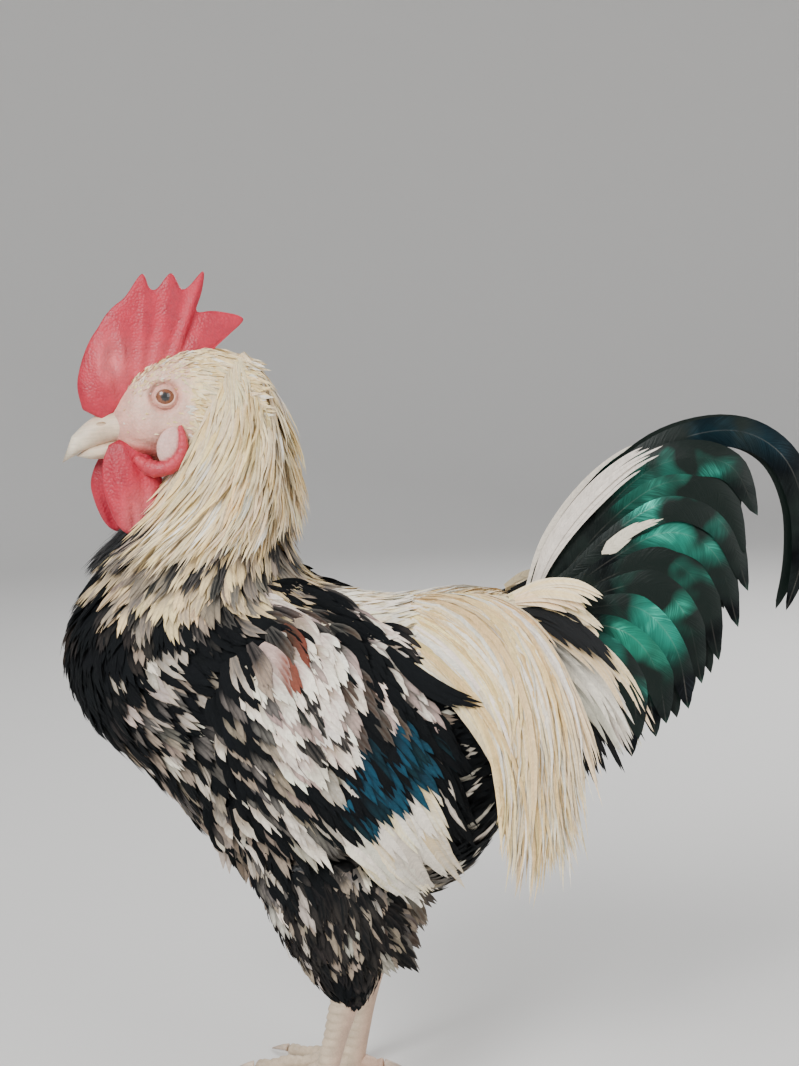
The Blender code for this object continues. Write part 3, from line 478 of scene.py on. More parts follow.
def skin_paint(name, bump_scale, bump_strength, **fixed):
    """Bare skin in the colour that its points carry, with fine pebbles."""
    paint = Paint(name, **fixed)
    place = paint.place()
    broad = paint.noise(place, SKIN_CLOUDS, 4.0, 0.6)
    fine = paint.node("ShaderNodeTexVoronoi", {"Vector": place, "Scale": bump_scale}).outputs["Distance"]
    tone = paint.times(paint.span(broad, 0.3, 0.7, 0.8, 1.12), paint.span(fine, 0.0, 0.7, 1.03, 0.92))
    colour = paint.scaled(paint.own()["Color"], tone)
    paint.put(paint.shader, {"Base Color": colour, "Roughness": paint.span(broad, 0.3, 0.7, 0.42, 0.62)})
    paint.bump(paint.math("SUBTRACT", 1.0, fine), bump_strength, 0.0006)
    return paint.material


FLESH = {"Subsurface_Weight": 0.15, "Subsurface_Scale": 0.002, "Subsurface_Radius": (1.0, 0.3, 0.2)}
BODY_SKIN = skin_paint("body_skin", 900.0, 0.35, **FLESH)
COMB_SKIN = skin_paint("comb_skin", 950.0, 0.35, **FLESH)
SCALE_SKIN = skin_paint("scale_skin", 1400.0, 0.2, Specular_IOR_Level=0.5)


def horn_paint():
    """Horn with growth lines along it and faint streaks."""
    paint = Paint("horn_grain", Specular_IOR_Level=0.5, Subsurface_Weight=0.08, Subsurface_Scale=0.001)
    place = paint.place()
    lines = paint.node("ShaderNodeMapping", {"Vector": place, "Rotation": HORN_SLANT, "Scale": HORN_LINES})
    grain = paint.noise(lines.outputs[0], 1.0, 3.0, 0.6)
    cloud = paint.noise(place, HORN_CLOUDS, 3.0, 0.6)
    tone = paint.times(paint.span(grain, 0.3, 0.7, 0.84, 1.08), paint.span(cloud, 0.3, 0.7, 0.82, 1.1))
    colour = paint.scaled(paint.own()["Color"], tone)
    paint.put(paint.shader, {"Base Color": colour, "Roughness": paint.span(cloud, 0.3, 0.7, 0.35, 0.6)})
    paint.bump(grain, 0.25, 0.0004)
    return paint.material


HORN_PAINT = horn_paint()


# Body surface: back line (x, z), front line (x, z), half width at each station from the head to the tail
BODY_STATIONS = (
    (-58, 301, -84, 257, 17.5), (-49, 286, -92, 248, 22), (-45, 264, -98, 240, 26),
    (-44, 244, -106, 231, 31), (-43, 229, -120, 215, 36), (-39, 217, -131, 196, 41),
    (-31, 210, -132, 176, 45), (-18, 206, -122, 156, 48), (-4, 204, -102, 137, 50),
    (10, 204, -80, 112, 51), (24, 204, -48, 88, 49), (37, 203, -12, 80, 44),
    (46, 201, 20, 92, 37), (54, 197, 41, 122, 28), (59, 192, 53, 153, 18),
)
BODY_END = len(BODY_STATIONS) - 1.0
BODY_WIDEST = 0.12
# Head: x, top z, bottom z and half width, from the beak to the nape
HEAD_STATIONS = (
    (-110, 279, 270, 4.5), (-106.5, 284.5, 266, 7.5), (-100, 292.5, 261, 11.8), (-91, 298.5, 259.5, 14),
    (-81, 301.5, 258, 15.5), (-70, 302, 256, 17), (-58, 298, 258, 17.5),
)
HOCKS = {"left": (-25, -28, 54), "right": (-13, 28, 54)}
ANKLES = {"left": (-40, -28, 7.5), "right": (-27, 28, 7.5)}
THIGH_TOPS = {"left": (-36, -25, 108), "right": (-28, 25, 108)}
# Thigh: share of the way to the hock, half depth, half width
THIGH_ROWS = (
    (0, 24, 14), (0.35, 24, 15.5), (0.6, 20.5, 14.5), (0.8, 15.5, 12), (0.93, 11, 9.5), (1.0, 7.5, 7),
)
HEAD_END = len(HEAD_STATIONS) - 1.0
THIGH_END = len(THIGH_ROWS) - 1.0


def body_point(s, t):
    """The body's surface at station s and angle t round it, which is 0 on the back line."""
    bx, bz, fx, fz, half = np.moveaxis(curve(BODY_STATIONS, s), -1, 0)
    swell = 1 + BODY_WIDEST * np.cos(t)
    x = (bx + fx) / 2 + (bx - fx) / 2 * np.cos(t)
    z = (bz + fz) / 2 + (bz - fz) / 2 * np.cos(t)
    return np.stack([x, half * np.sin(t) * swell, z], axis=-1)


def head_point(s, t):
    """The head's surface, with brows, a hollow round each eye, full cheeks and a fold behind the mouth."""
    x, top, bottom, half = np.moveaxis(curve(HEAD_STATIONS, s), -1, 0)
    x = x + 0 * t
    y = half * np.sin(t)
    z = (top + bottom) / 2 + (top - bottom) / 2 * np.cos(t)
    from_eye = np.hypot(x - EYE_CENTRE[0], z - EYE_CENTRE[2])
    brow = 1.3 * bell(z, 292, 2.2) * bell(x, -91, 8)
    hollow = 2.3 * smooth(7.2, 4.6, from_eye) + 0.5 * bell(from_eye, 8.5, 1.8)
    out = brow - hollow + 1.3 * bell(x, -96, 6) * bell(z, 271, 5)
    fold = z - 269.4 + 0.32 * (x + 104)
    out -= 0.9 * bell(fold, 0, 1.1) * smooth(-106, -102, x) * smooth(-88, -94, x)
    wrinkle = np.sin(from_eye * 3.4 + 0.6 * np.sin(4 * t))
    out += 0.16 * wrinkle * smooth(5.5, 7, from_eye) * smooth(14, 9, from_eye)
    y = y + np.sign(y) * out * np.abs(np.sin(t)) ** 0.7
    return turned(np.stack([x, y, z], axis=-1))


def thigh_surface(name):
    """The surface of a thigh, where t is 0 at its back."""

    def point(s, t):
        share, deep, wide = np.moveaxis(curve(THIGH_ROWS, s), -1, 0)
        centre = mixed(THIGH_TOPS[name], HOCKS[name], share[..., None])
        return centre + np.stack([deep * np.cos(t), wide * np.sin(t), 0 * t], axis=-1)

    return point


# Small change of s and of t that gives a surface's slope
NUDGE = 0.01


def surface_frame(surface, s, t):
    """Point, its change along s, its change along t, and the outward normal."""
    s = np.clip(s, 2 * NUDGE, None)
    point = surface(s, t)
    along = (surface(s + NUDGE, t) - surface(s - NUDGE, t)) / (2 * NUDGE)
    around = (surface(s, t + NUDGE) - surface(s, t - NUDGE)) / (2 * NUDGE)
    normal = unit(np.cross(along, around))
    inside = surface(s, t + math.pi)
    facing = np.sign(np.sum(normal * (point - inside), axis=-1, keepdims=True))
    return point, along, around, normal * np.where(facing == 0, 1, facing)


def walked(surface, end, s, t, lengths, rings, heights, turn, pull):
    """Paths over a surface from places (s, t): points and normals at rings + 1 places of each.

    heights are those over the surface at the root and at the tip, turn the angle off the lie, and pull a
    direction that is added to the surface's own.
    """
    s, t = np.clip(s, 2 * NUDGE, end - 0.05), np.array(t, float)
    path = np.empty((len(s), rings + 1, 3))
    normals = np.empty_like(path)
    beyond = np.zeros((len(s), 3))
    step = (lengths / rings)[:, None]
    for j in range(rings + 1):
        point, along, around, normal = surface_frame(surface, s, t)
        share = j / rings
        height = heights[0] + (heights[1] - heights[0]) * math.sin(share * math.pi / 2)
        path[:, j] = point + beyond + normal * np.reshape(height, (-1, 1))
        normals[:, j] = normal
        way = unit(along) + np.asarray(pull)
        way = unit(way - normal * np.sum(way * normal, axis=1, keepdims=True))
        way = way * np.cos(turn)[:, None] + np.cross(normal, way) * np.sin(turn)[:, None]
        move = way * step
        run = np.sum(move * along, axis=1) / np.sum(along**2, axis=1)
        past = np.clip((s + run - (end - 0.03)) / np.maximum(run, 1e-6), 0, 1)
        beyond += move * past[:, None]
        s = s + run * (1 - past)
        t = t + np.sum(move * around, axis=1) / np.maximum(np.sum(around**2, axis=1), 1.0) * (1 - past)
    return path, normals


# Share of the edge's colour in a vane's edge, mm to a step of the vane's coordinates, angle of a sharp edge
EDGE_SHARE = 0.55
VANE_UNIT = 10.0
SHARP = math.radians(75)


class Coat:
    """Feathers gathered as arrays and made into one mesh."""

    def __init__(self):
        self.points, self.colours, self.vane, self.bake, self.loops, self.starts = [], [], [], [], [], []
        self.count = 0
        self.corners = 0

    def add(
        self, path, normals, widths, colours, bake, ridge=0.1, droop=0.12, twist=0.2, patch=0.003, tipped=None
    ):
        """Adds feathers: paths (n, rings + 1, 3) that end in the tip, their normals, widths (n, rings).

        colours are root, tip and edge colours, each (n, 3); bake is each root's place on the skin's unwrap.
        Where tipped is given, the tip's colour goes back to the root's from that share of the length on.
        """
        n, last = len(path), path.shape[1] - 1
        tangents = unit(np.gradient(path, axis=1))[:, :last]
        across = unit(np.cross(tangents, normals[:, :last]))
        face = np.cross(across, tangents)
        angle = draw.normal(0, twist, (n, 1, 1))
        cos, sin = np.cos(angle), np.sin(angle)
        across, face = across * cos + face * sin, face * cos - across * sin
        across, face = across * widths[:, :, None] / 2, face * widths[:, :, None] / 2
        middle = path[:, :last]
        left, right = middle - across - face * droop, middle + across - face * droop
        top = middle + face * ridge
        rings = np.stack([left, top, right], axis=2).reshape(n, last * 3, 3)
        self.points.append(np.concatenate([rings, path[:, last:]], axis=1).reshape(-1, 3))
        root, tip, edge = colours
        share = (np.arange(last) / last)[None, :, None]
        blend = smooth(0.3, 0.8, share)
        if tipped is not None:
            blend = smooth(0.25, 0.55, share) * (1 - smooth(tipped, min(tipped + 0.2, 1), share))
            tip = tip * 0.2 + root * 0.8
        main = mixed(root[:, None], colours[1][:, None], blend)
        side = mixed(main, edge[:, None], EDGE_SHARE)
        tones = np.stack([side, main, side], axis=2).reshape(n, last * 3, 3)
        tones = np.concatenate([tones, (tip * 0.5 + edge * 0.5)[:, None]], axis=1)
        own = np.repeat(draw.uniform(0, 9, (n, 1)), last * 3 + 1, axis=1)[..., None]
        self.colours.append(np.concatenate([tones, own], axis=2).reshape(-1, 4))
        lengths = np.linalg.norm(np.diff(path, axis=1), axis=2)
        run = np.concatenate([np.zeros((n, 1)), np.cumsum(lengths, axis=1)], axis=1)
        vane = np.zeros((n, last * 3 + 1, 2))
        spot = np.zeros_like(vane)
        for k, edge_sign in enumerate((-1, 0, 1)):
            vane[:, k : last * 3 : 3, 0] = run[:, :last] / VANE_UNIT
            vane[:, k : last * 3 : 3, 1] = edge_sign * widths / 2 / VANE_UNIT
            spot[:, k : last * 3 : 3, 0] = edge_sign * 0.5
            spot[:, k : last * 3 : 3, 1] = np.arange(last) / last - 0.5
        vane[:, -1, 0] = run[:, last] / VANE_UNIT
        spot[:, -1, 1] = 0.5
        self.vane.append(vane.reshape(-1, 2))
        self.bake.append((np.asarray(bake)[:, None] + spot * patch).reshape(-1, 2))
        faces = [(0, 2, 1)]
        for j in range(last - 1):
            a, b = 3 * j, 3 * j + 3
            faces += [(a, a + 1, b + 1, b), (a + 1, a + 2, b + 2, b + 1), (a + 2, a, b, b + 2)]
        a = 3 * last - 3
        faces += [(a, a + 1, a + 3), (a + 1, a + 2, a + 3), (a + 2, a, a + 3)]
        size = 3 * last + 1
        flat = np.concatenate(faces)
        starts = np.cumsum([0] + [len(face) for face in faces])[:-1]
        first = self.count + np.arange(n)[:, None] * size
        self.loops.append((flat[None] + first).ravel())
        self.starts.append((starts[None] + self.corners + np.arange(n)[:, None] * len(flat)).ravel())
        self.count += n * size
        self.corners += n * len(flat)

    def build(self, name, slot, material, *nodes):
        mesh = bpy.data.meshes.new(name)
        points = np.vstack(self.points)
        loops, starts = np.concatenate(self.loops), np.concatenate(self.starts)
        mesh.vertices.add(len(points))
        mesh.vertices.foreach_set("co", placed(points).astype(np.float32).ravel())
        mesh.loops.add(len(loops))
        mesh.loops.foreach_set("vertex_index", loops.astype(np.int32))
        mesh.polygons.add(len(starts))
        mesh.polygons.foreach_set("loop_start", starts.astype(np.int32))
        mesh.update(calc_edges=True)
        for title, values in (("OFBake", self.bake), ("Vane", self.vane)):
            layer = mesh.uv_layers.new(name=title)
            layer.uv.foreach_set("vector", np.vstack(values)[loops].astype(np.float32).ravel())
        obj = linked(name, mesh)
        colours = np.vstack(self.colours)
        tint(obj, colours[:, :3], colours[:, 3])
        mesh.shade_smooth()
        mesh.set_sharp_from_angle(angle=SHARP)
        return piece(obj, slot, material, *nodes)


# Outlines: share of the length, share of the width
LOCK_SHAPE = ((0, 0.6), (0.3, 1.0), (0.7, 0.9), (1.0, 0.25))
POINTED_END = ((0, 0.5), (0.25, 1.0), (0.5, 0.85), (0.8, 0.45), (1.0, 0.15))
LONG_BLADE = ((0, 0.5), (0.15, 0.9), (0.6, 1.0), (0.85, 0.8), (0.94, 0.5), (1.0, 0.12))


def outline(rings, rows):
    """Share of the full width at each of a feather's rings."""
    rows = np.array(rows, float)
    return np.interp(np.arange(rings) / rings, rows[:, 0], rows[:, 1])


def along_path(path, share):
    """Points of each path (n, rings + 1, 3) at shares (n, m) of its rings."""
    last = path.shape[1] - 1
    place = np.clip(share, 0, 1) * last
    low = np.minimum(place.astype(int), last - 1)
    rest = (place - low)[..., None]
    rows = np.arange(len(path))[:, None]
    return path[rows, low] * (1 - rest) + path[rows, low + 1] * rest


def fanned(path, normals, width, locks, round_end=0.3, loose=0.25, rings=None):
    """Splits each feather into locks of barbs, the outer ones shorter: path, normals, widths and owner."""
    n, last = len(path), path.shape[1] - 1
    rings = rings or last
    place = np.linspace(-1, 1, locks)[None] + draw.normal(0, 0.12, (n, locks))
    trim = 1 - round_end * place**2 - draw.uniform(0, 0.12, (n, locks))
    steps = np.linspace(0, 1, rings + 1)
    share = trim[..., None] * steps
    owner = np.repeat(np.arange(n), locks)
    flat = share.reshape(n * locks, rings + 1)
    own_path, own_normals = path[owner], normals[owner]
    line, face = along_path(own_path, flat), unit(along_path(own_normals, flat))
    across = unit(np.cross(unit(np.gradient(line, axis=1)), face))
    spread = 0.2 + 0.8 * np.sin(np.clip(steps * 1.25, 0, 1) * math.pi / 2)
    own_width = np.broadcast_to(width, (n,))[owner]
    offset = place.reshape(-1, 1) * spread * own_width[:, None] * 0.4
    lift = draw.normal(0, loose, (n * locks, 1)) * steps * own_width[:, None] * 0.3
    bend = draw.normal(0, loose, (n * locks, 1)) * steps**2 * own_width[:, None] * 0.3
    sag = -np.abs(place).reshape(-1, 1) * own_width[:, None] * 0.06
    line = line + across * (offset + bend)[..., None] + face * (lift + sag)[..., None]
    widths = own_width[:, None] / locks * 2.0 * outline(rings, LOCK_SHAPE)[None]
    return line, face, widths, owner


def scattered(low, high, spacing_s, spacing_t, surface):
    """Jittered places (s, t) over a surface at about even spacing in mm."""
    found = []
    s = low
    row = 0
    angles = np.linspace(-math.pi, math.pi, 49)
    while s < high:
        ring = surface(np.full(len(angles), s), angles)
        girth = np.linalg.norm(np.diff(ring, axis=0), axis=1).sum()
        count = max(int(girth / spacing_t), 3)
        places = np.arange(count) + 0.5 * (row % 2) + draw.uniform(-0.3, 0.3, count)
        found.append(np.column_stack([np.full(count, s), math.tau * places / count - math.pi]))
        back_and_front = np.array([0.0, math.pi])
        ahead = surface(np.full(2, s + 0.1), back_and_front) - surface(np.full(2, s), back_and_front)
        pace = np.linalg.norm(ahead, axis=1).sum() * 5
        s += spacing_s / max(pace, 2.0)
        row += 1
    places = np.vstack(found)
    places[:, 0] += draw.uniform(-0.5, 0.5, len(places)) * (high - low) / row
    places[:, 1] = (places[:, 1] + math.pi) % math.tau - math.pi
    return places[:, 0], places[:, 1]


def unwrap(s, t, end, margin=0.05):
    """Places on the square unwrap of a surface, a margin within its edges."""
    return margin + (1 - 2 * margin) * np.column_stack([(t + math.pi) / math.tau, s / end])


def halves(s, t):
    """The places of each side of the body."""
    for name, side in SIDES.items():
        mine = np.sign(t) == side
        yield name, s[mine], t[mine]


# Skin: the body and the thighs lie in by the coat's depth, and the head's skin is the surface itself

COAT_DEPTH = 3.4
NECK_DEPTH = 0.8
THIGH_SHARE = 0.88
FACE_FRONT = (-111, 0, 274.5)


def skin_body(s, t):
    point, _, _, normal = surface_frame(body_point, s, t)
    depth = NECK_DEPTH + (COAT_DEPTH - NECK_DEPTH) * smooth(3.0, 5.5, s)
    return point - normal * depth[:, None]


def rings_of(surface, end, rings, count):
    """Rings of count points over a surface, from its start to its end."""
    t = np.arange(count) * math.tau / count
    return [surface(np.full(count, s), t) for s in np.linspace(0, end, rings)]


# Lids: horizontal and upright half angle of the opening; section as angle past the opening and radius
LID_OPENING = (0.84, 0.66)
LID_COUNT = 64
LID_SECTION = (
    (0, 4.45), (0.02, 4.8), (0.08, 5.0), (0.15, 5.05), (0.2, 4.95), (0.26, 5.1), (0.36, 5.2), (0.47, 5.05),
    (0.6, 4.5), (0.5, 3.9), (0.12, 4.05),
)


def lids(side):
    """Both lids of an eye as one ring of skin, whose opening is wider than it is high."""
    centre = np.array((EYE_CENTRE[0], side * EYE_CENTRE[1], EYE_CENTRE[2]))
    wide, high = LID_OPENING
    points = []
    for angle in np.arange(LID_COUNT) * math.tau / LID_COUNT:
        opening = 1 / math.hypot(math.cos(angle) / wide, math.sin(angle) / high)
        for past, radius in LID_SECTION:
            radius += 0.1 * math.sin(angle * 9) * smooth(0.1, 0.3, past)
            aside, ahead = math.sin(opening + past), math.cos(opening + past)
            out = np.array((math.cos(angle) * aside, side * ahead, math.sin(angle) * aside))
            points.append(centre + radius * out)
    faces = [tuple(v % len(points) for v in face) for face in quads(LID_COUNT + 1, len(LID_SECTION))]
    return mesh_from("lids", turned(points), faces)


def build_skin():
    body = loft("skin", rings_of(skin_body, BODY_END, 71, 56))
    others = [loft("head", rings_of(head_point, HEAD_END, 101, 108), turned(FACE_FRONT))]
    others += [lids(side) for side in SIDES.values()]
    for name in SIDES:
        rings = rings_of(thigh_surface(name), THIGH_END, 24, 32)
        middles = [ring.mean(axis=0) for ring in rings]
        others.append(loft("thigh", [mixed(m, ring, THIGH_SHARE) for m, ring in zip(middles, rings)]))
    skin = joined(body, others)
    places = straightened(coordinates(skin))
    x, z = places[:, 0], places[:, 2]
    from_eye = np.hypot(x - EYE_CENTRE[0], z - EYE_CENTRE[2])
    pink = 0.12 + 0.6 * bell(from_eye, 4.6, 2.0) + 0.4 * smooth(-97, -108, x)
    pink += 0.5 * bell(x, -98, 9) * bell(z, 270, 7)
    red = smooth(270, 264, z) * bell(x, -102, 12)
    pink, red = np.clip(pink, 0, 1)[:, None], np.clip(red, 0, 0.85)[:, None]
    face = mixed(mixed(SKIN_PALE, SKIN_PINK, pink), SKIN_RED, red)
    ahead = (smooth(-76, -82, x) * smooth(250, 256, z))[:, None]
    under = mixed(CREAM, BLACK, smooth(222, 212, z)[:, None])
    tint(skin, mixed(under, face, ahead))
    skin.data.shade_smooth()
    piece(skin, "face_flesh", BODY_SKIN, "torso", "neck", "head", "thigh_left", "thigh_right")


build_skin()


# Body feathers


def lay(coat, path, normals, width, tones, bake, locks, round_end=0.3, loose=0.18, rings=None, **options):
    """Adds feathers to a coat as locks of barbs."""
    line, face, widths, owner = fanned(path, normals, width, locks, round_end, loose, rings)
    coat.add(line, face, widths, tones[:, owner], np.asarray(bake)[owner], **options)


# Markings: mix, x, z, half width and half height of each oval
BODY_ZONES = (
    ("black", -122, 176, 24, 50), ("rim", -134, 195, 8, 26), ("black", -66, 186, 22, 12),
    ("black", -116, 226, 12, 12), ("collar", -92, 212, 30, 12), ("collar", -58, 211, 30, 9),
    ("mottled", -82, 150, 26, 40), ("mottled", -50, 112, 32, 30), ("down", 10, 84, 34, 12),
    ("white", 8, 208, 36, 13), ("cream", 45, 195, 20, 26), ("mottled", -30, 165, 40, 20),
    ("strip", 26, 132, 16, 34),
)


BODY_STATION_SPAN = (2.6, 13.9)
BODY_SPACING = (5.0, 5.3)
BODY_LENGTH = (15, 21)
BODY_WIDTH = (7.0, 9.5)
BODY_PULL = (0, 0, -0.35)
BODY_LOCKS = 5
BODY_MARGIN = 0.03


def body_coats():
    s, t = scattered(*BODY_STATION_SPAN, *BODY_SPACING, body_point)
    for name, ms, mt in halves(s, t):
        n = len(ms)
        lengths = draw.uniform(*BODY_LENGTH, n) * (1 + 0.3 * smooth(5, 3, ms))
        heights = (np.full(n, -COAT_DEPTH + 0.3), draw.uniform(-0.4, 1.0, n) + 1.0 * smooth(5.5, 3.5, ms))
        turn = draw.normal(0, 0.14, n)
        path, normals = walked(body_point, BODY_END, ms, mt, lengths, 5, heights, turn, BODY_PULL)
        seen = path[:, 3]
        names = zoned(BODY_ZONES, seen[:, 0], seen[:, 2], 0.3)
        coat = Coat()
        width = draw.uniform(*BODY_WIDTH, n) * (1 - 0.3 * smooth(5.5, 3.5, ms))
        tones = chosen(names, seen, 10.0, 0.8)
        bake = unwrap(ms, mt, BODY_END, BODY_MARGIN)
        lay(coat, path, normals, width, tones, bake, BODY_LOCKS, twist=0.12, ridge=0.05)
        coat.build("body_feathers_" + name, "black_feather", BODY_VANE)


HACKLE_ZONES = (
    ("cream", -66, 262, 34, 32), ("cream", -68, 240, 22, 14), ("black", -120, 228, 14, 16),
    ("collar", -104, 220, 12, 8), ("collar", -44, 221, 12, 9), ("collar", -75, 213, 30, 9),
)


HACKLE_STATION_SPAN = (0.0, 2.9)
HACKLE_SPACING = (2.5, 3.0)
HACKLE_LENGTH = (26, 35)
HACKLE_WIDTH = (3.6, 5.0)
HACKLE_LIFT = (1.2, 4.2)
HACKLE_PUFF = 4.2
HACKLE_PULL = (0, 0, -0.5)
HACKLE_LOCKS = 7


def hackle_coats():
    s, t = scattered(*HACKLE_STATION_SPAN, *HACKLE_SPACING, body_point)
    for name, ms, mt in halves(s, t):
        n = len(ms)
        behind = smooth(-0.4, 0.7, np.cos(mt))
        puff = HACKLE_PUFF * behind * smooth(0.2, 1.2, ms) * smooth(3.0, 2.2, ms)
        lengths = draw.uniform(*HACKLE_LENGTH, n) * (0.4 + 0.6 * smooth(0, 1.6, ms))
        lengths = lengths * (1 - 0.25 * smooth(1.8, 3.0, ms))
        low = draw.uniform(-0.5, 0.6, n)
        high = draw.uniform(*HACKLE_LIFT, n) * (0.35 + 0.65 * smooth(0, 1.3, ms)) + puff
        turn = draw.normal(0, 0.14, n)
        path, normals = walked(body_point, BODY_END, ms, mt, lengths, 8, (low, high), turn, HACKLE_PULL)
        seen = path[:, 6]
        names = zoned(HACKLE_ZONES, seen[:, 0], seen[:, 2], 0.35)
        coat = Coat()
        width = draw.uniform(*HACKLE_WIDTH, n)
        tones = chosen(names, seen, 9.0, 1.2)
        bake = unwrap(ms, mt, BODY_END, BODY_MARGIN)
        lay(coat, path, normals, width, tones, bake, HACKLE_LOCKS, loose=0.75, rings=5, twist=0.3)
        coat.build("hackle_" + name, "cream_feather", PALE_VANE)


body_coats()
hackle_coats()

# Wings

WING_MIDDLE = np.array((-25.0, 146.0))
WING_AXIS = unit((0.5, -0.866))
WING_HALF = (57.0, 38.0)
WING_CROWN = 5.5
WING_POINTS = 40


def wing_place(u, v):
    """(x, z) of the place that is u along the wing and v across it, towards the back."""
    u, v = np.asarray(u, float)[..., None], np.asarray(v, float)[..., None]
    return WING_MIDDLE + WING_AXIS * u + np.array([-WING_AXIS[1], WING_AXIS[0]]) * v


def wing_crown(u, v):
    """Height of the folded wing over the body."""
    inside = 1 - (u / WING_HALF[0]) ** 2 - (v / WING_HALF[1]) ** 2
    return WING_CROWN * math.sqrt(max(inside, 0.0))


def rings_tree(*lofts):
    """A search tree over lofts, each a list of rings of points."""
    points, faces = [], []
    for rings in lofts:
        for a, b, c, d in np.array(quads(len(rings), len(rings[0]))) + len(points):
            faces += [(a, b, c), (a, c, d)]
        points += [Vector(p) for ring in rings for p in ring]
    return BVHTree.FromPolygons(points, faces)


BODY_RINGS = rings_of(body_point, BODY_END, 91, 64)
THIGH_RINGS = [rings_of(thigh_surface(name), THIGH_END, 31, 32) for name in SIDES]
flank_tree = rings_tree(BODY_RINGS, *THIGH_RINGS)


def beside(tree, x, z, side, last):
    """y of the surface seen from the side at x, z, or last where there is none."""
    hit = tree.ray_cast(Vector((x, side * 200, z)), Vector((0, -side, 0)))[0]
    return last if hit is None else hit.y


def wing_shell(side, lift):
    """Rings over the folded wing, raised by lift."""
    rings = []
    for share in (1.0, 0.93, 0.8, 0.6, 0.35, 0.1):
        ring = []
        for angle in np.arange(WING_POINTS) * math.tau / WING_POINTS:
            u, v = WING_HALF[0] * math.cos(angle) * share, WING_HALF[1] * math.sin(angle) * share
            x, z = wing_place(u, v)
            out = wing_crown(u, v) + lift * (1 - share**6)
            ring.append((x, beside(flank_tree, x, z, side, side * 40) + side * out, z))
        rings.append(ring)
    return rings


def on_side(tree, side, flat, low, high, inward=200.0):
    """Paths and normals from flat paths (n, rings + 1, 2) of x and z, laid on the side of what a tree holds.

    low and high are the root's and the tip's height over it, inward the deepest step towards the middle.
    """
    n, rings = flat.shape[0], flat.shape[1] - 1
    low, high = np.broadcast_to(low, n), np.broadcast_to(high, n)
    path = np.empty((n, rings + 1, 3))
    for i in range(n):
        y = side * 8
        for j, (x, z) in enumerate(flat[i]):
            y = side * max(side * beside(tree, x, z, side, y), side * y - inward)
            path[i, j] = (x, y + side * (low[i] + (high[i] - low[i]) * j / rings), z)
    path[:, 1:-1] = (path[:, :-2] + 2 * path[:, 1:-1] + path[:, 2:]) / 4
    tangents = unit(np.gradient(path, axis=1))
    outward = np.array([0.0, side, 0.12])
    return path, unit(outward - tangents * (tangents @ outward)[..., None])


WING_ZONES = (
    ("bow", -34, 170, 13, 22), ("bow", -24, 150, 8, 10), ("rust", -39, 184, 8, 9),
    ("shade", -5, 172, 13, 15), ("shade", -50, 193, 14, 8), ("mottled", -60, 160, 14, 34),
    ("mottled", -45, 122, 17, 24), ("bar", -4, 140, 20, 14), ("black", -25, 131, 8, 7),
    ("bay", 2, 104, 18, 21), ("strip", 24, 132, 8, 30), ("black", 12, 180, 14, 6),
)
# Wing feathers: u of the roots, v of the first and last, count, length, width, turn of the first and last in
# degrees, heights of the root and the tip, mix
WING_TIERS = (
    (6, 22, 38, 7, 52, 8, -8, -17, 0.2, 0.8, "strip"),
    (14, -11, 20, 12, 57, 9.5, 4, -14, 0.4, 1.8, "bay"),
    (5, -13, 24, 10, 44, 9, 4, -10, 0.8, 2.0, ""),
)
# Rows of small feathers: their u, reach across in the middle row, length, width, turn in degrees, heights
WING_ROWS = tuple(range(3, -58, -5))
ROW_REACH = 36
ROW_HALF_SPAN = 62
ROW_SPACING = 2.4
ROW_LENGTH = (19, 28)
ROW_WIDTH = 7.6
ROW_TURN = (-8, 22)
ROW_HEIGHTS = (1.2, 3.2)


def wing_rows():
    rows = list(WING_TIERS)
    for u0 in WING_ROWS:
        reach = ROW_REACH * math.sqrt(max(1 - (u0 / ROW_HALF_SPAN) ** 2, 0.02))
        length = mixed(*ROW_LENGTH, smooth(-30, 5, u0))
        count = int(reach / ROW_SPACING) + 3
        rows.append((u0, -reach, reach, count, length, ROW_WIDTH, *ROW_TURN, *ROW_HEIGHTS, ""))
    return rows


def wing_coats():
    for name, side in SIDES.items():
        shell = rings_tree(BODY_RINGS, *THIGH_RINGS, wing_shell(side, 0.0))
        coat = Coat()
        for u0, first, last, count, length, width, turn_low, turn_high, low, high, mix in wing_rows():
            rings = 8 if length > 30 else 6
            share = (np.arange(count) + draw.uniform(-0.25, 0.25, count)) / (count - 1)
            v = first + (last - first) * share
            u = u0 + draw.uniform(-1.8, 1.8, count)
            turn = np.radians(turn_low + (turn_high - turn_low) * share + draw.normal(0, 4, count))
            long = length * draw.uniform(0.88, 1.08, count)
            steps = np.linspace(0, 1, rings + 1)[None]
            bend = turn[:, None] * (1 - 0.5 * steps)
            run = long[:, None] * steps
            flat = wing_place(u[:, None] + np.cos(bend) * run, v[:, None] + np.sin(bend) * run)
            over = draw.uniform(0, 0.7, count)
            path, normals = on_side(shell, side, flat, low + over, high + over)
            seen = path[:, rings * 3 // 4]
            names = mix or zoned(WING_ZONES, seen[:, 0], seen[:, 2], 0.25)
            bake = np.column_stack([0.5 + v / 100, 0.5 + u / 150])
            tones = chosen(names, seen, 11.0, 0.7)
            lay(coat, path, normals, width, tones, bake, 5, loose=0.16, twist=0.1)
        coat.build("wing_feathers_" + name, "white_feather", BODY_VANE, "wing_" + name)


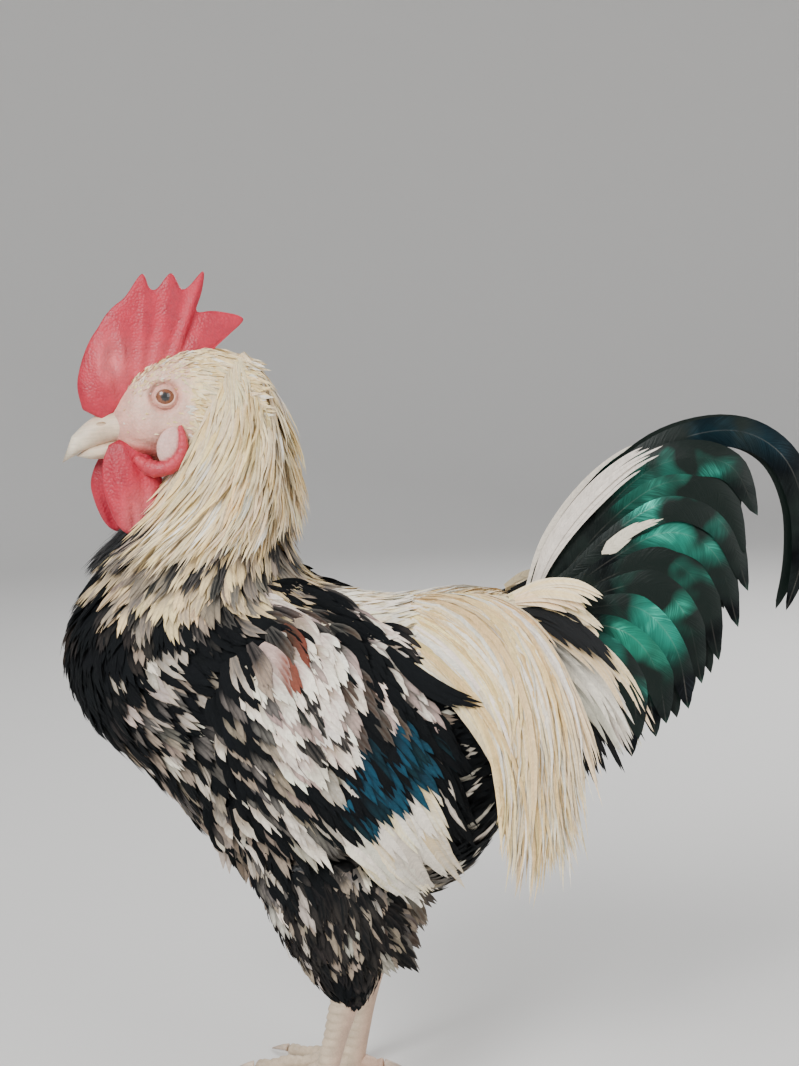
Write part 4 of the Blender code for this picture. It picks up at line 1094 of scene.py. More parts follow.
# Black feathers over the shoulder, along lines (x, z), and the long one whose end stands out
SHOULDER_LINES = (
    ((-56, 214), (-31, 206), (-7, 193.5), (13, 180)),
    ((-58, 209), (-34, 200), (-11, 188), (8, 174.5)),
    ((-56, 203), (-36, 194), (-16, 181), (2, 168)),
)
LONG_BLACK = ((-6, 191), (4, 182), (16, 174), (31, 169))
LONG_BLACK_WIDTH = 8.5
LONG_BLACK_HEIGHTS = (3.0, 13.0)
SHOULDER_STARTS = np.arange(0.05, 2.05, 0.14)
SHOULDER_WIDTH = (5.5, 7.5)


def shoulder_coats():
    steps = np.linspace(0, 1, 8)
    for name, side in SIDES.items():
        shell = rings_tree(BODY_RINGS, *THIGH_RINGS, wing_shell(side, 2.0))
        flat, kinds = [], []
        for row, line in enumerate(SHOULDER_LINES):
            for start in SHOULDER_STARTS:
                places = start + draw.uniform(0, 0.1) + steps * draw.uniform(0.75, 1.0)
                aside = draw.normal(0, 1.6) * steps[:, None] * np.array([[0.5, 1.0]])
                flat.append(curve(line, places) + draw.normal(0, 1.2, 2) + aside)
                kinds.append("black" if row == 0 else "shade")
        n = len(flat)
        path, normals = on_side(shell, side, np.array(flat), -1.5, draw.uniform(0.8, 2.2, n))
        kinds = np.where(draw.random(n) < 0.12, "bow", kinds)
        coat = Coat()
        bake = np.column_stack([0.1 + 0.8 * np.arange(n) / n, np.full(n, 0.3)])
        width = draw.uniform(*SHOULDER_WIDTH, n)
        lay(coat, path, normals, width, chosen(kinds, path[:, 4], 11.0, 0.8), bake, 5)
        path, normals = on_side(shell, side, sampled(LONG_BLACK, 13)[None], *LONG_BLACK_HEIGHTS)
        tones = chosen("black", path[:, 6])
        lay(coat, path, normals, LONG_BLACK_WIDTH, tones, [(0.5, 0.6)], 7, 0.22, 0.1, twist=0.05)
        coat.build("shoulder_feathers_" + name, "black_feather", BODY_VANE)


# Feathers over the seam between the belly and the thigh
FLANK_ZONES = (
    ("mottled", -62, 108, 24, 30), ("black", -40, 92, 10, 8), ("thigh", -25, 88, 26, 16),
    ("down", 14, 90, 16, 20),
)
FLANK_COUNT = 190
FLANK_SPAN = (-76, -4)
FLANK_LENGTH = (17, 24)
FLANK_WIDTH = (6, 8.5)
FLANK_LEAST_Y = 20
FLANK_TOP = 130
FLANK_RISE = 4
FLANK_STEP_IN = 3.0


def flank_coats():
    n = FLANK_COUNT
    steps = np.linspace(0, 1, 7)[None]
    for name, side in SIDES.items():
        x = draw.uniform(*FLANK_SPAN, n)
        z = 128 - 28 * smooth(-76, -34, x) - 12 * smooth(-34, -14, x) + draw.uniform(-14, 8, n)
        for i in range(n):
            while side * beside(flank_tree, x[i], z[i], side, 0.0) < FLANK_LEAST_Y and z[i] < FLANK_TOP:
                z[i] += FLANK_RISE
        turn = np.radians(-72 + 14 * smooth(-40, 0, x) + draw.normal(0, 8, n))[:, None]
        run = draw.uniform(*FLANK_LENGTH, n)[:, None] * steps
        flat = np.stack([x[:, None] + np.cos(turn) * run, z[:, None] + np.sin(turn) * run], axis=-1)
        path, normals = on_side(flank_tree, side, flat, -1.5, draw.uniform(0.5, 2.2, n), FLANK_STEP_IN)
        seen = path[:, 4]
        names = zoned(FLANK_ZONES, seen[:, 0], seen[:, 2], 0.3)
        coat = Coat()
        bake = np.column_stack([0.5 + x / 200, z / 200])
        width = draw.uniform(*FLANK_WIDTH, n)
        lay(coat, path, normals, width, chosen(names, seen, 11.0, 0.7), bake, 5, loose=0.25, twist=0.2)
        coat.build("flank_feathers_" + name, "black_feather", BODY_VANE)


# Saddle: a curtain that falls from the back; its lanes run from the side up to the middle
SADDLE_AXIS_Z = 150
SADDLE_COUNT = 560
SADDLE_START = 3.0
SADDLE_STOP = 38.0
SADDLE_RADIUS = 80
SADDLE_DEGREES = 50
SADDLE_RINGS = 12
SADDLE_LENGTH = 134
SADDLE_SINK = 0.08
# Stretch of the colour patches, so that they run down the feathers
SADDLE_STREAKS = (2.2, 1.0, 0.35)
SADDLE_WIDTH = (4.0, 6.0)
SADDLE_LOCKS = 6
# The feathers' ends gather at places this far apart
CLUMP = 9.0


def saddle_path(tree, side, place, length, part, lane):
    """Points and normals of a feather that falls from place, first rearward and outward and then down.

    part is the root's share of the way to the rear, and lane that of the way to the middle.
    """
    back = 1.6 - 1.45 * part + draw.uniform(-0.16, 0.16) * (1 - 0.5 * part)
    power, curl = 1.8 - part, 0.28 - 0.6 * part
    top = 0.6 + 3.0 * lane + draw.uniform(-0.5, 0.9)
    points, normals = [], []
    for j in range(SADDLE_RINGS + 1):
        share = j / SADDLE_RINGS
        way = unit((0, place[1], max(place[2] - SADDLE_AXIS_Z, 0)))
        hit = tree.ray_cast(Vector(place + way * 200), Vector(-way))[0]
        level = -3.0 if hit is None else (np.array(hit) - place) @ way + 0.4 + top * min(1, share * 4)
        if j:
            level = max(level, -SADDLE_SINK * length / SADDLE_RINGS)
        place = place + way * level
        points.append(place)
        normals.append(way)
        rearward = back * (1 - share) ** power - curl * share
        lie = np.array([rearward, side * (1 - share) * (1 - 0.4 * part), -1.0])
        place = place + unit(lie - way * (lie @ way)) * length / SADDLE_RINGS
    return points, normals


def saddle_coats():
    steps = np.linspace(0, 1, SADDLE_RINGS + 1)[None]
    for name, side in SIDES.items():
        tree = rings_tree(BODY_RINGS, *THIGH_RINGS, wing_shell(side, 2.0))
        paths, bake = [], []
        for i in range(SADDLE_COUNT):
            lane = (i + draw.uniform(0, 1)) / SADDLE_COUNT
            degrees = max(SADDLE_DEGREES * (1 - lane) ** 0.85 + draw.uniform(-1, 1), 0.5)
            x = draw.uniform(SADDLE_START, SADDLE_STOP)
            part = (x - SADDLE_START) / (SADDLE_STOP - SADDLE_START)
            angle = math.radians(degrees)
            out, up = SADDLE_RADIUS * math.sin(angle), SADDLE_RADIUS * math.cos(angle)
            length = (SADDLE_LENGTH - 0.45 * degrees) * draw.uniform(0.78, 1.04) * (1 - 0.24 * part)
            place = np.array([x, side * out, SADDLE_AXIS_Z + up])
            paths.append(saddle_path(tree, side, place, length, part, lane))
            bake.append((0.05 + 0.9 * part, 0.05 + 0.9 * degrees / 52))
        path, normals = np.array(paths).transpose(1, 0, 2, 3)
        path[:, 2:-1] = (path[:, 1:-2] + 2 * path[:, 2:-1] + path[:, 3:]) / 4
        wave = draw.uniform(0, math.tau, (SADDLE_COUNT, 1))
        path[..., 0] += draw.normal(0, 1.4, (SADDLE_COUNT, 1)) * np.sin(steps * 5 + wave) * steps
        ends = path[:, -1, 0]
        shift = (np.round(ends / CLUMP) * CLUMP - ends) * draw.uniform(0.2, 0.8, SADDLE_COUNT)
        path[..., 0] += shift[:, None] * steps**2.5
        names = np.where((path[:, 0, 0] < 20) & (draw.random(SADDLE_COUNT) < 0.2), "white", "saddle")
        coat = Coat()
        width = draw.uniform(*SADDLE_WIDTH, SADDLE_COUNT)
        tones = chosen(names, path[:, 6] * SADDLE_STREAKS, 14.0, 0.6)
        lay(coat, path, normals, width, tones, bake, SADDLE_LOCKS, loose=0.9, rings=8, twist=0.3)
        coat.build("saddle_feathers_" + name, "cream_feather", PALE_VANE, "saddle_" + name)


THIGH_ZONES = (
    ("thigh", -35, 95, 30, 26), ("cuff", -26, 58, 30, 9), ("mottled", -58, 98, 10, 30),
    ("mottled", -30, 112, 30, 10), ("down", 0, 80, 14, 30),
)


THIGH_SPACING = (3.3, 3.8)
THIGH_LENGTH = (9, 14)
THIGH_WIDTH = (4.4, 6.2)
THIGH_PULL = (0.1, 0, -0.4)
# How far the far thigh's markings lie behind the near one's
THIGH_LAG = {"left": 0, "right": 10}


def thigh_coats():
    for name in SIDES:
        surface = thigh_surface(name)
        s, t = scattered(0.02, 4.9, *THIGH_SPACING, surface)
        n = len(s)
        base = surface(s, t)
        lengths = draw.uniform(*THIGH_LENGTH, n) * (1 - 0.35 * smooth(3.5, 4.9, s))
        heights = (-2.4 + 2.2 * smooth(0.8, 0.2, s), draw.uniform(-0.8, 0.9, n))
        turn = draw.normal(0, 0.2, n)
        path, normals = walked(surface, THIGH_END, s, t, lengths, 5, heights, turn, THIGH_PULL)
        names = zoned(THIGH_ZONES, base[:, 0] - THIGH_LAG[name], base[:, 2])
        coat = Coat()
        width = draw.uniform(*THIGH_WIDTH, n)
        tones = chosen(names, base, 9.0, 0.8)
        lay(coat, path, normals, width, tones, unwrap(s, t, THIGH_END), 4, loose=0.35, twist=0.3)
        coat.build("thigh_feathers_" + name, "black_feather", BODY_VANE)


HEAD_SPACING = (1.15, 1.35)
HEAD_PULL = (0.1, 0, -0.35)


def head_coat():
    """Short feathers over the crown and the cheeks, sparse and tiny before and over the eyes."""
    s, t = scattered(1.2, 5.95, *HEAD_SPACING, head_point)
    crown = np.cos(t)
    cheek = smooth(3.7, 4.6, s + 0.6 * smooth(0.3, -0.6, crown))
    cheek = cheek * np.maximum(smooth(-0.99, -0.8, crown), smooth(3.4, 4.2, s))
    brow = smooth(0.45, 0.75, crown) * smooth(1.2, 2.4, s)
    sparse = 0.10 * smooth(-0.6, -0.3, crown)
    keep = draw.random(len(s)) < np.maximum(np.maximum(cheek, brow), sparse)
    s, t = s[keep], t[keep]
    crown = np.cos(t)
    n = len(s)
    rear = np.maximum(smooth(3.2, 5.4, s), 0.35 * smooth(0.8, 1.0, crown))
    lengths = draw.uniform(0.8, 1.2, n) * (2.0 + 7.5 * rear)
    heights = (np.full(n, -0.3), draw.uniform(0.3, 1.3, n) * (0.4 + rear))
    turn = draw.normal(0, 0.25, n)
    path, normals = walked(head_point, HEAD_END, s, t, lengths, 4, heights, turn, HEAD_PULL)
    coat = Coat()
    tones = chosen("cream", path[:, 2], 8.0, 1.0)
    widths = (0.5 + lengths * 0.17)[:, None] * outline(4, POINTED_END)[None]
    coat.add(path, normals, widths, tones, unwrap(s, t, HEAD_END), twist=0.4)
    coat.build("head_feathers", "cream_feather", PALE_VANE)


wing_coats()
shoulder_coats()
flank_coats()
saddle_coats()
thigh_coats()
head_coat()

# Tail: lines (x, z) from the root to the tip of the feathers of one side

SICKLE_SHAPE = (
    (0, 0.4), (0.15, 0.85), (0.35, 1.0), (0.65, 0.95), (0.8, 0.76), (0.9, 0.5), (0.96, 0.27), (1.0, 0.08),
)
TAIL_ROOT = (53, 201)
# Straight feathers in the middle: rise in degrees, length
MAIN_TAIL = ((50, 78), (40, 82), (29, 84), (18, 80), (7, 74), (-5, 70), (-14, 62))
MAIN_SICKLE = (
    (51, 198), (64, 221), (83, 244), (106, 260), (131, 264), (149, 254), (157, 234), (156, 212), (150, 193),
)
LESSER_SICKLES = (
    ((53, 200), (76, 235), (100, 254), (124, 252), (135, 232)),
    ((53, 199), (78, 229), (102, 246), (124, 241), (134, 217)),
    ((54, 199), (80, 224), (104, 237), (123, 229), (132, 203)),
    ((54, 198), (80, 217), (102, 227), (120, 218), (128, 190)),
    ((54, 197), (80, 211), (100, 217), (115, 205), (121, 178)),
    ((55, 195), (78, 205), (96, 207), (109, 194), (114, 169)),
    ((55, 193), (76, 199), (92, 197), (103, 184), (107, 161)),
    ((55, 191), (73, 193), (87, 188), (96, 175), (99, 155)),
    ((55, 188), (70, 187), (81, 180), (88, 167), (90, 148)),
)
# White feathers beside the others: line, distance from the middle at the root and at the tip, rings, width,
# place on the unwrap, locks, roundness of the end
WHITE_TAIL = (
    (((50, 203), (58, 221), (71, 238), (87, 252), (103, 260)), 9.0, 15.5, 24, 9, (0.5, 0.8), 9, 0.1),
    (((70, 212), (80, 221), (91, 229), (102, 233)), 8.0, 18.0, 14, 5, (0.6, 0.8), 5, 0.25),
)
MAIN_WIDTH = 18
SICKLE_WIDTH = 13
LESSER_WIDTH = 15
COVERT_COUNT = 44
COVERT_RINGS = 14
COVERT_LOCKS = 5
# Distance of the coverts from the middle at their roots and at their tips
COVERT_INNER = (13, 17)
COVERT_OUTER = (20, 27)
# Coverts from the top down: line, mix, width
COVERTS = (
    (((42, 203), (54, 207), (67, 206), (78, 199)), "cream", 8),
    (((42, 200), (54, 199), (65, 193), (75, 183)), "black", 7),
    (((44, 198), (60, 195), (76, 182), (88, 166)), "cream", 6),
    (((46, 196), (66, 190), (86, 172), (98, 149)), "cream", 6),
    (((46, 192), (62, 184), (80, 166), (92, 143)), "covert", 7),
    (((48, 186), (60, 176), (75, 158), (86, 136)), "covert", 8),
    (((50, 178), (60, 166), (70, 150), (77, 132)), "strip", 8),
    (((52, 168), (59, 157), (65, 144), (69, 128)), "black", 8),
)


def tail_line(side, line, inner, outer, rings):
    """A path along a line, its distance from the middle going from inner to outer."""
    flat = sampled(line, rings + 1)
    aside = side * np.linspace(inner, outer, rings + 1)
    return np.column_stack([flat[:, 0], aside, flat[:, 1]])[None]


def tail_tones(side, path, kind, up=0.15):
    """Normals of an upright feather, and its colours."""
    rings = path.shape[1] - 1
    normals = np.tile(unit(np.array([0.0, side, up])), (1, rings + 1, 1))
    return normals, chosen(kind, path[:, (rings + 1) // 2])


def tail_feather(coat, side, path, width, shape, kind, place, tipped=None):
    widths = width * outline(path.shape[1] - 1, shape)[None]
    normals, tones = tail_tones(side, path, kind)
    coat.add(path, normals, widths, tones, [place], 0.06, 0.14, 0.08, patch=0.04, tipped=tipped)


def dark_tail(coat, side):
    """The straight feathers in the middle, the long sickle, and the lesser sickles, two along each line."""
    for i, (angle, length) in enumerate(MAIN_TAIL):
        turns = np.radians((angle + 6, angle, angle - 6, angle - 14))
        steps = length / 4 * np.column_stack([np.cos(turns), np.sin(turns)])
        line = np.cumsum([(TAIL_ROOT[0], TAIL_ROOT[1] - 1.5 * i), *steps], axis=0)
        path = tail_line(side, line, 2.4 + i, 3.0 + 2.0 * i, 16)
        tail_feather(coat, side, path, MAIN_WIDTH, LONG_BLADE, "plain tail", (0.1 + 0.1 * i, 0.1))
    path = tail_line(side, MAIN_SICKLE, 1.2, 2.4, 48)
    path[0, :, 0] -= 3.0 * (side > 0) * np.linspace(0, 1, 49)
    tail_feather(coat, side, path, SICKLE_WIDTH, SICKLE_SHAPE, "sickle", (0.1, 0.3), tipped=0.5)
    for i, lesser in enumerate(LESSER_SICKLES):
        for copy in range(2):
            line = np.array(lesser, float) + draw.normal(0, 0.8, 2) + np.array((0, -3.5 * copy))
            line[3:] += np.array((-4.0, -2.0)) * copy + draw.normal(0, 1.2, 2)
            path = tail_line(side, line, 7 + 0.8 * i - 1.5 * copy, 13 + 1.2 * i - 2.5 * copy, 30)
            kind = "tail" if not copy or i % 2 else "plain tail"
            place = (0.1 + 0.1 * i, 0.5 + 0.1 * copy)
            tail_feather(coat, side, path, LESSER_WIDTH, SICKLE_SHAPE, kind, place, tipped=0.66)


def pale_tail(coat, side):
    """The coverts that fall over the tail's root, and the white feathers."""
    for i in range(COVERT_COUNT):
        place = (len(COVERTS) - 1) * (i + draw.uniform(0, 0.9)) / COVERT_COUNT
        low = int(place)
        rest = place - low
        line = mixed(COVERTS[low][0], COVERTS[low + 1][0], rest) + draw.normal(0, 1.0, 2)
        reach = draw.uniform(0.72, 1.04)
        line = mixed(line[0], line, reach)
        kind = COVERTS[low if draw.random() > rest else low + 1][1]
        if draw.random() < 0.12 and place > 2.5:
            kind = "black"
        inner = draw.uniform(*COVERT_INNER) + 1.5 * (1 - reach)
        outer = draw.uniform(*COVERT_OUTER) * (1 - 0.2 * rest)
        path = tail_line(side, line, inner, outer, COVERT_RINGS)
        normals, tones = tail_tones(side, path, kind, 0.35)
        bake = [(0.05 + 0.9 * i / COVERT_COUNT, 0.4)]
        lay(coat, path, normals, COVERTS[low][2], tones, bake, COVERT_LOCKS, 0.16, 0.22, twist=0.25)
    for line, inner, outer, rings, width, place, locks, round_end in WHITE_TAIL:
        path = tail_line(side, line, inner, outer, rings)
        normals, tones = tail_tones(side, path, "white")
        lay(coat, path, normals, width, tones, [place], locks, round_end, 0.12, twist=0.12)


def tail_coats():
    for name, side in SIDES.items():
        dark, pale = Coat(), Coat()
        dark_tail(dark, side)
        dark.build("tail_feathers_" + name, "black_feather", DARK_VANE, *(["tail"] if name == "left" else []))
        pale_tail(pale, side)
        pale.build("tail_coverts_" + name, "cream_feather", PALE_VANE)


tail_coats()

# Comb, wattles, ear lobes and beak

COMB_OUTLINE = (
    (-120, 281), (-121.5, 290), (-119.5, 299), (-116, 307), (-112.5, 312), (-109.5, 316.5), (-106, 320),
    (-101.5, 323.5), (-95, 332), (-92.5, 326.5), (-89.5, 326), (-84, 332), (-80.5, 326), (-77.5, 326.5),
    (-71.5, 332.5), (-72.5, 324.5), (-75, 317), (-68, 317), (-57, 314), (-62, 308.5), (-67, 304.5),
)
COMB_ROWS = 13
COMB_BASE = ((-112, 276.5), (-104.5, 281), (-97, 288), (-86, 294), (-74, 298))
UPPER_BEAK = (
    (-102.5, 274.5, 8.2, 6.6), (-107.5, 274.4, 7.2, 6.4), (-113, 273.4, 5.9, 6.2), (-119, 270.8, 4.3, 5.3),
    (-124.5, 267.2, 2.7, 3.9),
)
UPPER_BEAK_TIP = (-128.5, 261.3)
LOWER_BEAK = (
    (-103, 266.2, 6.6, 4.2), (-107, 266, 5.8, 4.0), (-112, 265.4, 4.8, 3.4), (-118, 264.6, 3.3, 2.5),
)
LOWER_BEAK_TIP = (-123.2, 263.6)
MOUTH_LINE = ((-98, 268.6), (-104, 269.4), (-111, 268.6), (-118, 266.6), (-123, 264.2), (-127, 260.5))
NOSTRIL = (-113.5, 5.3, 275.6)
NOSTRIL_SIZE = (2.3, 1.3, 0.8)
MOUTH_GAP = 0.1
WATTLE_RINGS = (
    (-105.5, 267.5, 5.5, 2.2), (-104, 261, 9.6, 2.8), (-102.8, 253, 11.2, 3.0), (-102.6, 245, 9.9, 2.7),
    (-103.2, 238.5, 6.9, 2.2), (-103.5, 235, 4.2, 1.6), (-103.7, 233.4, 1.8, 0.8),
)
WATTLE_ROOT = (-105.5, 270)
WATTLE_FOOT = (-103.8, 233)
WATTLE_OUT = (5.0, 9.0)
FAR_WATTLE_SHIFT = -4.5
LOBE_RINGS = (
    (-87.3, 273.6, 1.2, 0.5), (-88.0, 271.5, 3.4, 1.3), (-88.8, 267.5, 4.7, 1.9), (-89.2, 263.5, 4.4, 1.9),
    (-89.6, 260, 2.6, 1.2), (-89.8, 258.6, 1.0, 0.5),
)
# The red fold that runs round the lobe: (x, z, radius)
LOBE_FOLD = (
    (-84.6, 274.0, 0.7), (-83.8, 270.0, 1.5), (-84.0, 265.0, 2.1), (-86.6, 260.4, 2.7), (-91.5, 258.0, 3.1),
    (-96.5, 258.6, 3.0), (-101, 262, 2.0),
)
LOBE_Y = 14.6
FOLD_Y = 15.0
COMB_DENT = (-108.5, 299.0)
COMB_DENT_TURN = (0.93, 0.37)
COMB_DENT_HALF = (3.8, 8.0)


def ring_round(centre, across, up, count):
    angles = np.arange(count) * math.tau / count
    return centre + np.outer(np.sin(angles), across) + np.outer(np.cos(angles), up)


def redden(obj, pale, deep):
    """Colours red flesh, paler and deeper by the shares given."""
    pale, deep = np.clip(pale, 0, 1)[:, None], np.clip(deep, 0, 1)[:, None]
    tint(obj, mixed(mixed(COMB_RED, COMB_PINK, pale), COMB_DEEP, deep))


def comb():
    """A fleshy blade, thick at its foot, with flutes towards its points and a fold pressed into its front."""
    rim_points = sampled(COMB_OUTLINE, (len(COMB_OUTLINE) - 1) * 4 + 1)
    wide, tall = len(rim_points), COMB_ROWS
    base = sampled(COMB_BASE, wide)
    place = np.arange(wide) / (wide - 1)
    across, along = COMB_DENT_TURN
    points = []
    for side in (-1, 1):
        for share in np.linspace(0, 1, tall):
            middle = mixed(base, rim_points, share)
            x, z = middle[:, 0] - COMB_DENT[0], middle[:, 1] - COMB_DENT[1]
            half = 3.4 * (1 - share) ** 0.8 + 1.0 * share**0.5 * (1 - share) + 0.55
            flute = 0.45 * np.sin(place * 46) * math.sin(math.pi * share)
            fold = 2.2 * math.sin(math.pi * share) * bell(place, 0.12, 0.12)
            wave = 0.5 * np.sin(place * 13 + share * 5) * share
            lean, up = x * across - z * along, z * across + x * along
            away = np.hypot(lean / COMB_DENT_HALF[0], up / COMB_DENT_HALF[1])
            dent = 0.8 * bell(away, 1.05, 0.35) - 0.8 * bell(away, 0, 0.7)
            y = side * (half + flute + dent) - fold + wave
            points.append(np.column_stack([middle[:, 0], y, middle[:, 1]]))
    faces = []
    for row in range(tall - 1):
        for i in range(wide - 1):
            corner = row * wide + i
            quad = (corner, corner + 1, corner + wide + 1, corner + wide)
            faces += [quad, tuple(v + wide * tall for v in reversed(quad))]
    corners = np.arange(tall * wide).reshape(tall, wide)
    rim = [*corners[0], *corners[1:, -1], *corners[-1, -2::-1], *corners[-2:0:-1, 0]]
    for corner, following in zip(rim, rim[1:] + rim[:1]):
        faces.append((following, corner, corner + wide * tall, following + wide * tall))
    obj = mesh_from("comb_flesh", turned(np.vstack(points)), faces)
    rounded(obj)
    x, _, z = straightened(coordinates(obj)).T
    # Paler where the fold is pressed in: a painted highlight; paler low in the middle, deeper red at the
    # front and at the points
    pale = 0.75 * bell(x, COMB_DENT[0], 6) * bell(z, COMB_DENT[1], 8)
    pale += 0.3 * smooth(312, 296, z) * bell(x, -92, 12)
    redden(obj, pale, 0.35 * smooth(-112, -120, x) + 0.25 * smooth(322, 332, z))
    piece(obj, "red_flesh", COMB_SKIN, "comb")


def rounded(obj):
    """Rounds a mesh by one level of subdivision."""
    modifier = obj.modifiers.new("round", "SUBSURF")
    modifier.levels = modifier.render_levels = 1
    evaluated(obj)
    obj.data.shade_smooth()


def wattle(name, side):
    rings = []
    shift = FAR_WATTLE_SHIFT * (side > 0)
    for share, (x, z, half_wide, half_thick) in zip(np.linspace(0, 1, 40), sampled(WATTLE_RINGS, 40)):
        y = side * (WATTLE_OUT[0] + (WATTLE_OUT[1] - WATTLE_OUT[0]) * math.sin(share * math.pi / 2))
        x += shift * smooth(0, 0.4, share)
        ring = ring_round((x, y, z), (0, half_thick, 0), (half_wide, 0, 0), 56)
        across = (ring[:, 0] - x) / half_wide
        crease = 0.7 * np.sin(across * 5.5 + share * 3 + side) + 0.35 * np.sin(across * 12 - share * 7)
        ring[:, 1] += crease * math.sin(math.pi * min(share + 0.12, 1.0)) * 0.8
        rings.append(ring)
    root = (WATTLE_ROOT[0], side * WATTLE_OUT[0], WATTLE_ROOT[1])
    foot = (WATTLE_FOOT[0] + shift, side * WATTLE_OUT[1], WATTLE_FOOT[1])
    obj = head_loft("wattle_flesh_" + name, rings, root, foot)
    x, _, z = straightened(coordinates(obj)).T
    # Paler low at the rear; deeper red high at the front, under the beak: painted shade
    pale, deep = smooth(256, 238, z) * smooth(-112, -100, x), smooth(250, 262, z) * smooth(-100, -110, x)
    redden(obj, 0.8 * pale, 0.8 * deep)
    piece(obj, "red_flesh", COMB_SKIN, "wattle_" + name)


def ear_lobe(name, side):
    """A pale creased pad with a red fold round it."""
    rings = []
    for share, (x, z, half_wide, half_thick) in zip(np.linspace(0, 1, 20), sampled(LOBE_RINGS, 20)):
        centre = (x, side * (LOBE_Y + 0.8 * share), z)
        ring = ring_round(centre, (0, half_thick, 0), (half_wide, 0, 0), 40)
        creases = np.sin(ring[:, 0] * 2.1 + ring[:, 2] * 0.9) + 0.7 * np.sin(ring[:, 2] * 3.1 - ring[:, 0])
        ring[:, 1] += side * 0.13 * creases * math.sin(math.pi * share)
        rings.append(ring)
    pad = head_loft("ear_flesh_" + name, rings)
    x, z, radii = sampled(LOBE_FOLD, 40).T
    middles = np.column_stack([x, side * (FOLD_Y - 0.025 * (x + 84) ** 2), z])
    along = unit(np.gradient(middles, axis=0))
    rings = []
    for i, radius in enumerate(radii):
        radius *= 1 + 0.14 * math.sin(i * 1.3) * math.sin(i * 0.7)
        across = unit(np.cross(along[i], (0, side, 0)))
        rings.append(ring_round(middles[i], across * radius, np.cross(across, along[i]) * radius, 16))
    obj = joined(pad, [head_loft("fold", rings)])
    places = straightened(coordinates(obj))
    gap = np.min(np.hypot(places[:, :1] - x, places[:, 2:] - z) - radii * 1.05, axis=1)
    tint(obj, mixed(LOBE_PALE, mixed(COMB_RED, COMB_PINK, 0.2), smooth(0.9, -0.3, gap)[:, None]))
    obj.data.shade_smooth()
    piece(obj, "red_flesh", COMB_SKIN, "ear_lobe_" + name)


def beak_half(name, rows, tip):
    rings = [ring_round((x, 0, z), (0, wide, 0), (0, 0, high), 32) for x, z, wide, high in sampled(rows, 22)]
    return head_loft(name, rings, (rows[0][0], 0, rows[0][1]), (tip[0], 0, tip[1]))


def mouth_cutter(sign):
    """A block that takes off what lies over the mouth line, or under it where sign is -1."""
    rings = []
    for x, z in sampled(MOUTH_LINE, 9):
        near, far = z + sign * MOUTH_GAP, z + sign * 30
        rings.append(((x, -20, near), (x, 20, near), (x, 20, far), (x, -20, far)))
    return head_loft("mouth", rings)


def nostril(side):
    rings = []
    for a in np.linspace(0.15, math.pi - 0.15, 9):
        long, deep, high = NOSTRIL_SIZE
        centre = (NOSTRIL[0] - long * math.cos(a), side * NOSTRIL[1], NOSTRIL[2])
        rings.append(ring_round(centre, (0, deep * math.sin(a), 0), (0, 0, high * math.sin(a)), 12))
    return head_loft("nostril", rings)


def beak():
    upper = beak_half("beak_horn_upper", UPPER_BEAK, UPPER_BEAK_TIP)
    joined(upper, [mouth_cutter(-1)] + [nostril(side) for side in SIDES.values()], "DIFFERENCE")
    lower = beak_half("beak_horn_lower", LOWER_BEAK, LOWER_BEAK_TIP)
    joined(lower, [mouth_cutter(1)], "DIFFERENCE")
    mouth_x, mouth_z = np.array(MOUTH_LINE).T
    for obj, node in ((upper, "beak_upper"), (lower, "beak_lower")):
        x, _, z = straightened(coordinates(obj)).T
        from_mouth = z - np.interp(-x, -mouth_x, mouth_z)
        # Painted shade: darker along the mouth line, along the top near the comb and at the root against the
        # face
        shade = 0.35 * bell(from_mouth, 0, 1.3) + 0.3 * smooth(277, 281, z) + 0.25 * smooth(-106, -102, x)
        colour = mixed(HORN, HORN_TIP, smooth(-112, -126, x)[:, None])
        tint(obj, mixed(colour, HORN_SHADE, np.clip(shade, 0, 1)[:, None]))
        obj.data.shade_smooth()
        obj.data.set_sharp_from_angle(angle=math.radians(45))
        piece(obj, "horn", HORN_PAINT, node)


# Legs and feet

SHANK_ROWS = ((0, 5.2), (0.12, 5.0), (0.3, 4.2), (0.6, 4.0), (0.85, 4.4), (1.0, 5.0))
SHANK_LEAN = 1.1
SCUTES = 15
SCUTE_RISE = 0.55
FOOT_HALF = (4.8, 5.4)
# Toes: heading from straight ahead in degrees, length, radius at the root and at the tip, plates on top
TOES = {
    "inner": (27, 30, 3.6, 2.1, 9),
    "middle": (0, 41, 3.8, 2.2, 12),
    "outer": (-30, 32, 3.5, 2.1, 10),
    "hind": (168, 14, 3.0, 2.0, 4),
}
PLATE_RISE = 0.4
CLAW_LENGTH = 8.5
CLAW_RADIUS = 1.7
CLAW_HEIGHT = 2.5
GAP = 0.35


def plated(ring, centre, step, shift, rise, end, fade):
    """Raises one side of a ring as the plate that it lies on swells, and drops it at the plate's end."""
    count = len(ring)
    facing = np.clip(shift[0] * np.cos(np.arange(count) * math.tau / count) + shift[1], 0, 1)
    height = rise * smooth(0, end, step) * (1 - smooth(fade, 1.0, step))
    return ring + unit(ring - centre) * (height * facing)[:, None]


def shank(name, hock, ankle, foot):
    heights = np.linspace(0, 1, 61)
    radii = sampled([row[1:] for row in SHANK_ROWS], 61)[:, 0]
    rings = []
    for share in np.linspace(0, 1, 91):
        centre = mixed(hock, ankle, share)
        radius = np.interp(share, heights, radii)
        ring = ring_round(centre, (0, radius, 0), (radius * SHANK_LEAN, 0, 0), 32)
        rings.append(plated(ring, centre, share * SCUTES % 1, (-1, 0.35), SCUTE_RISE, 0.75, 0.88))
    rings.append(ring_round(foot, (0, FOOT_HALF[0], 0), (FOOT_HALF[1], 0, 0), 32))
    return loft("leg_" + name, rings)


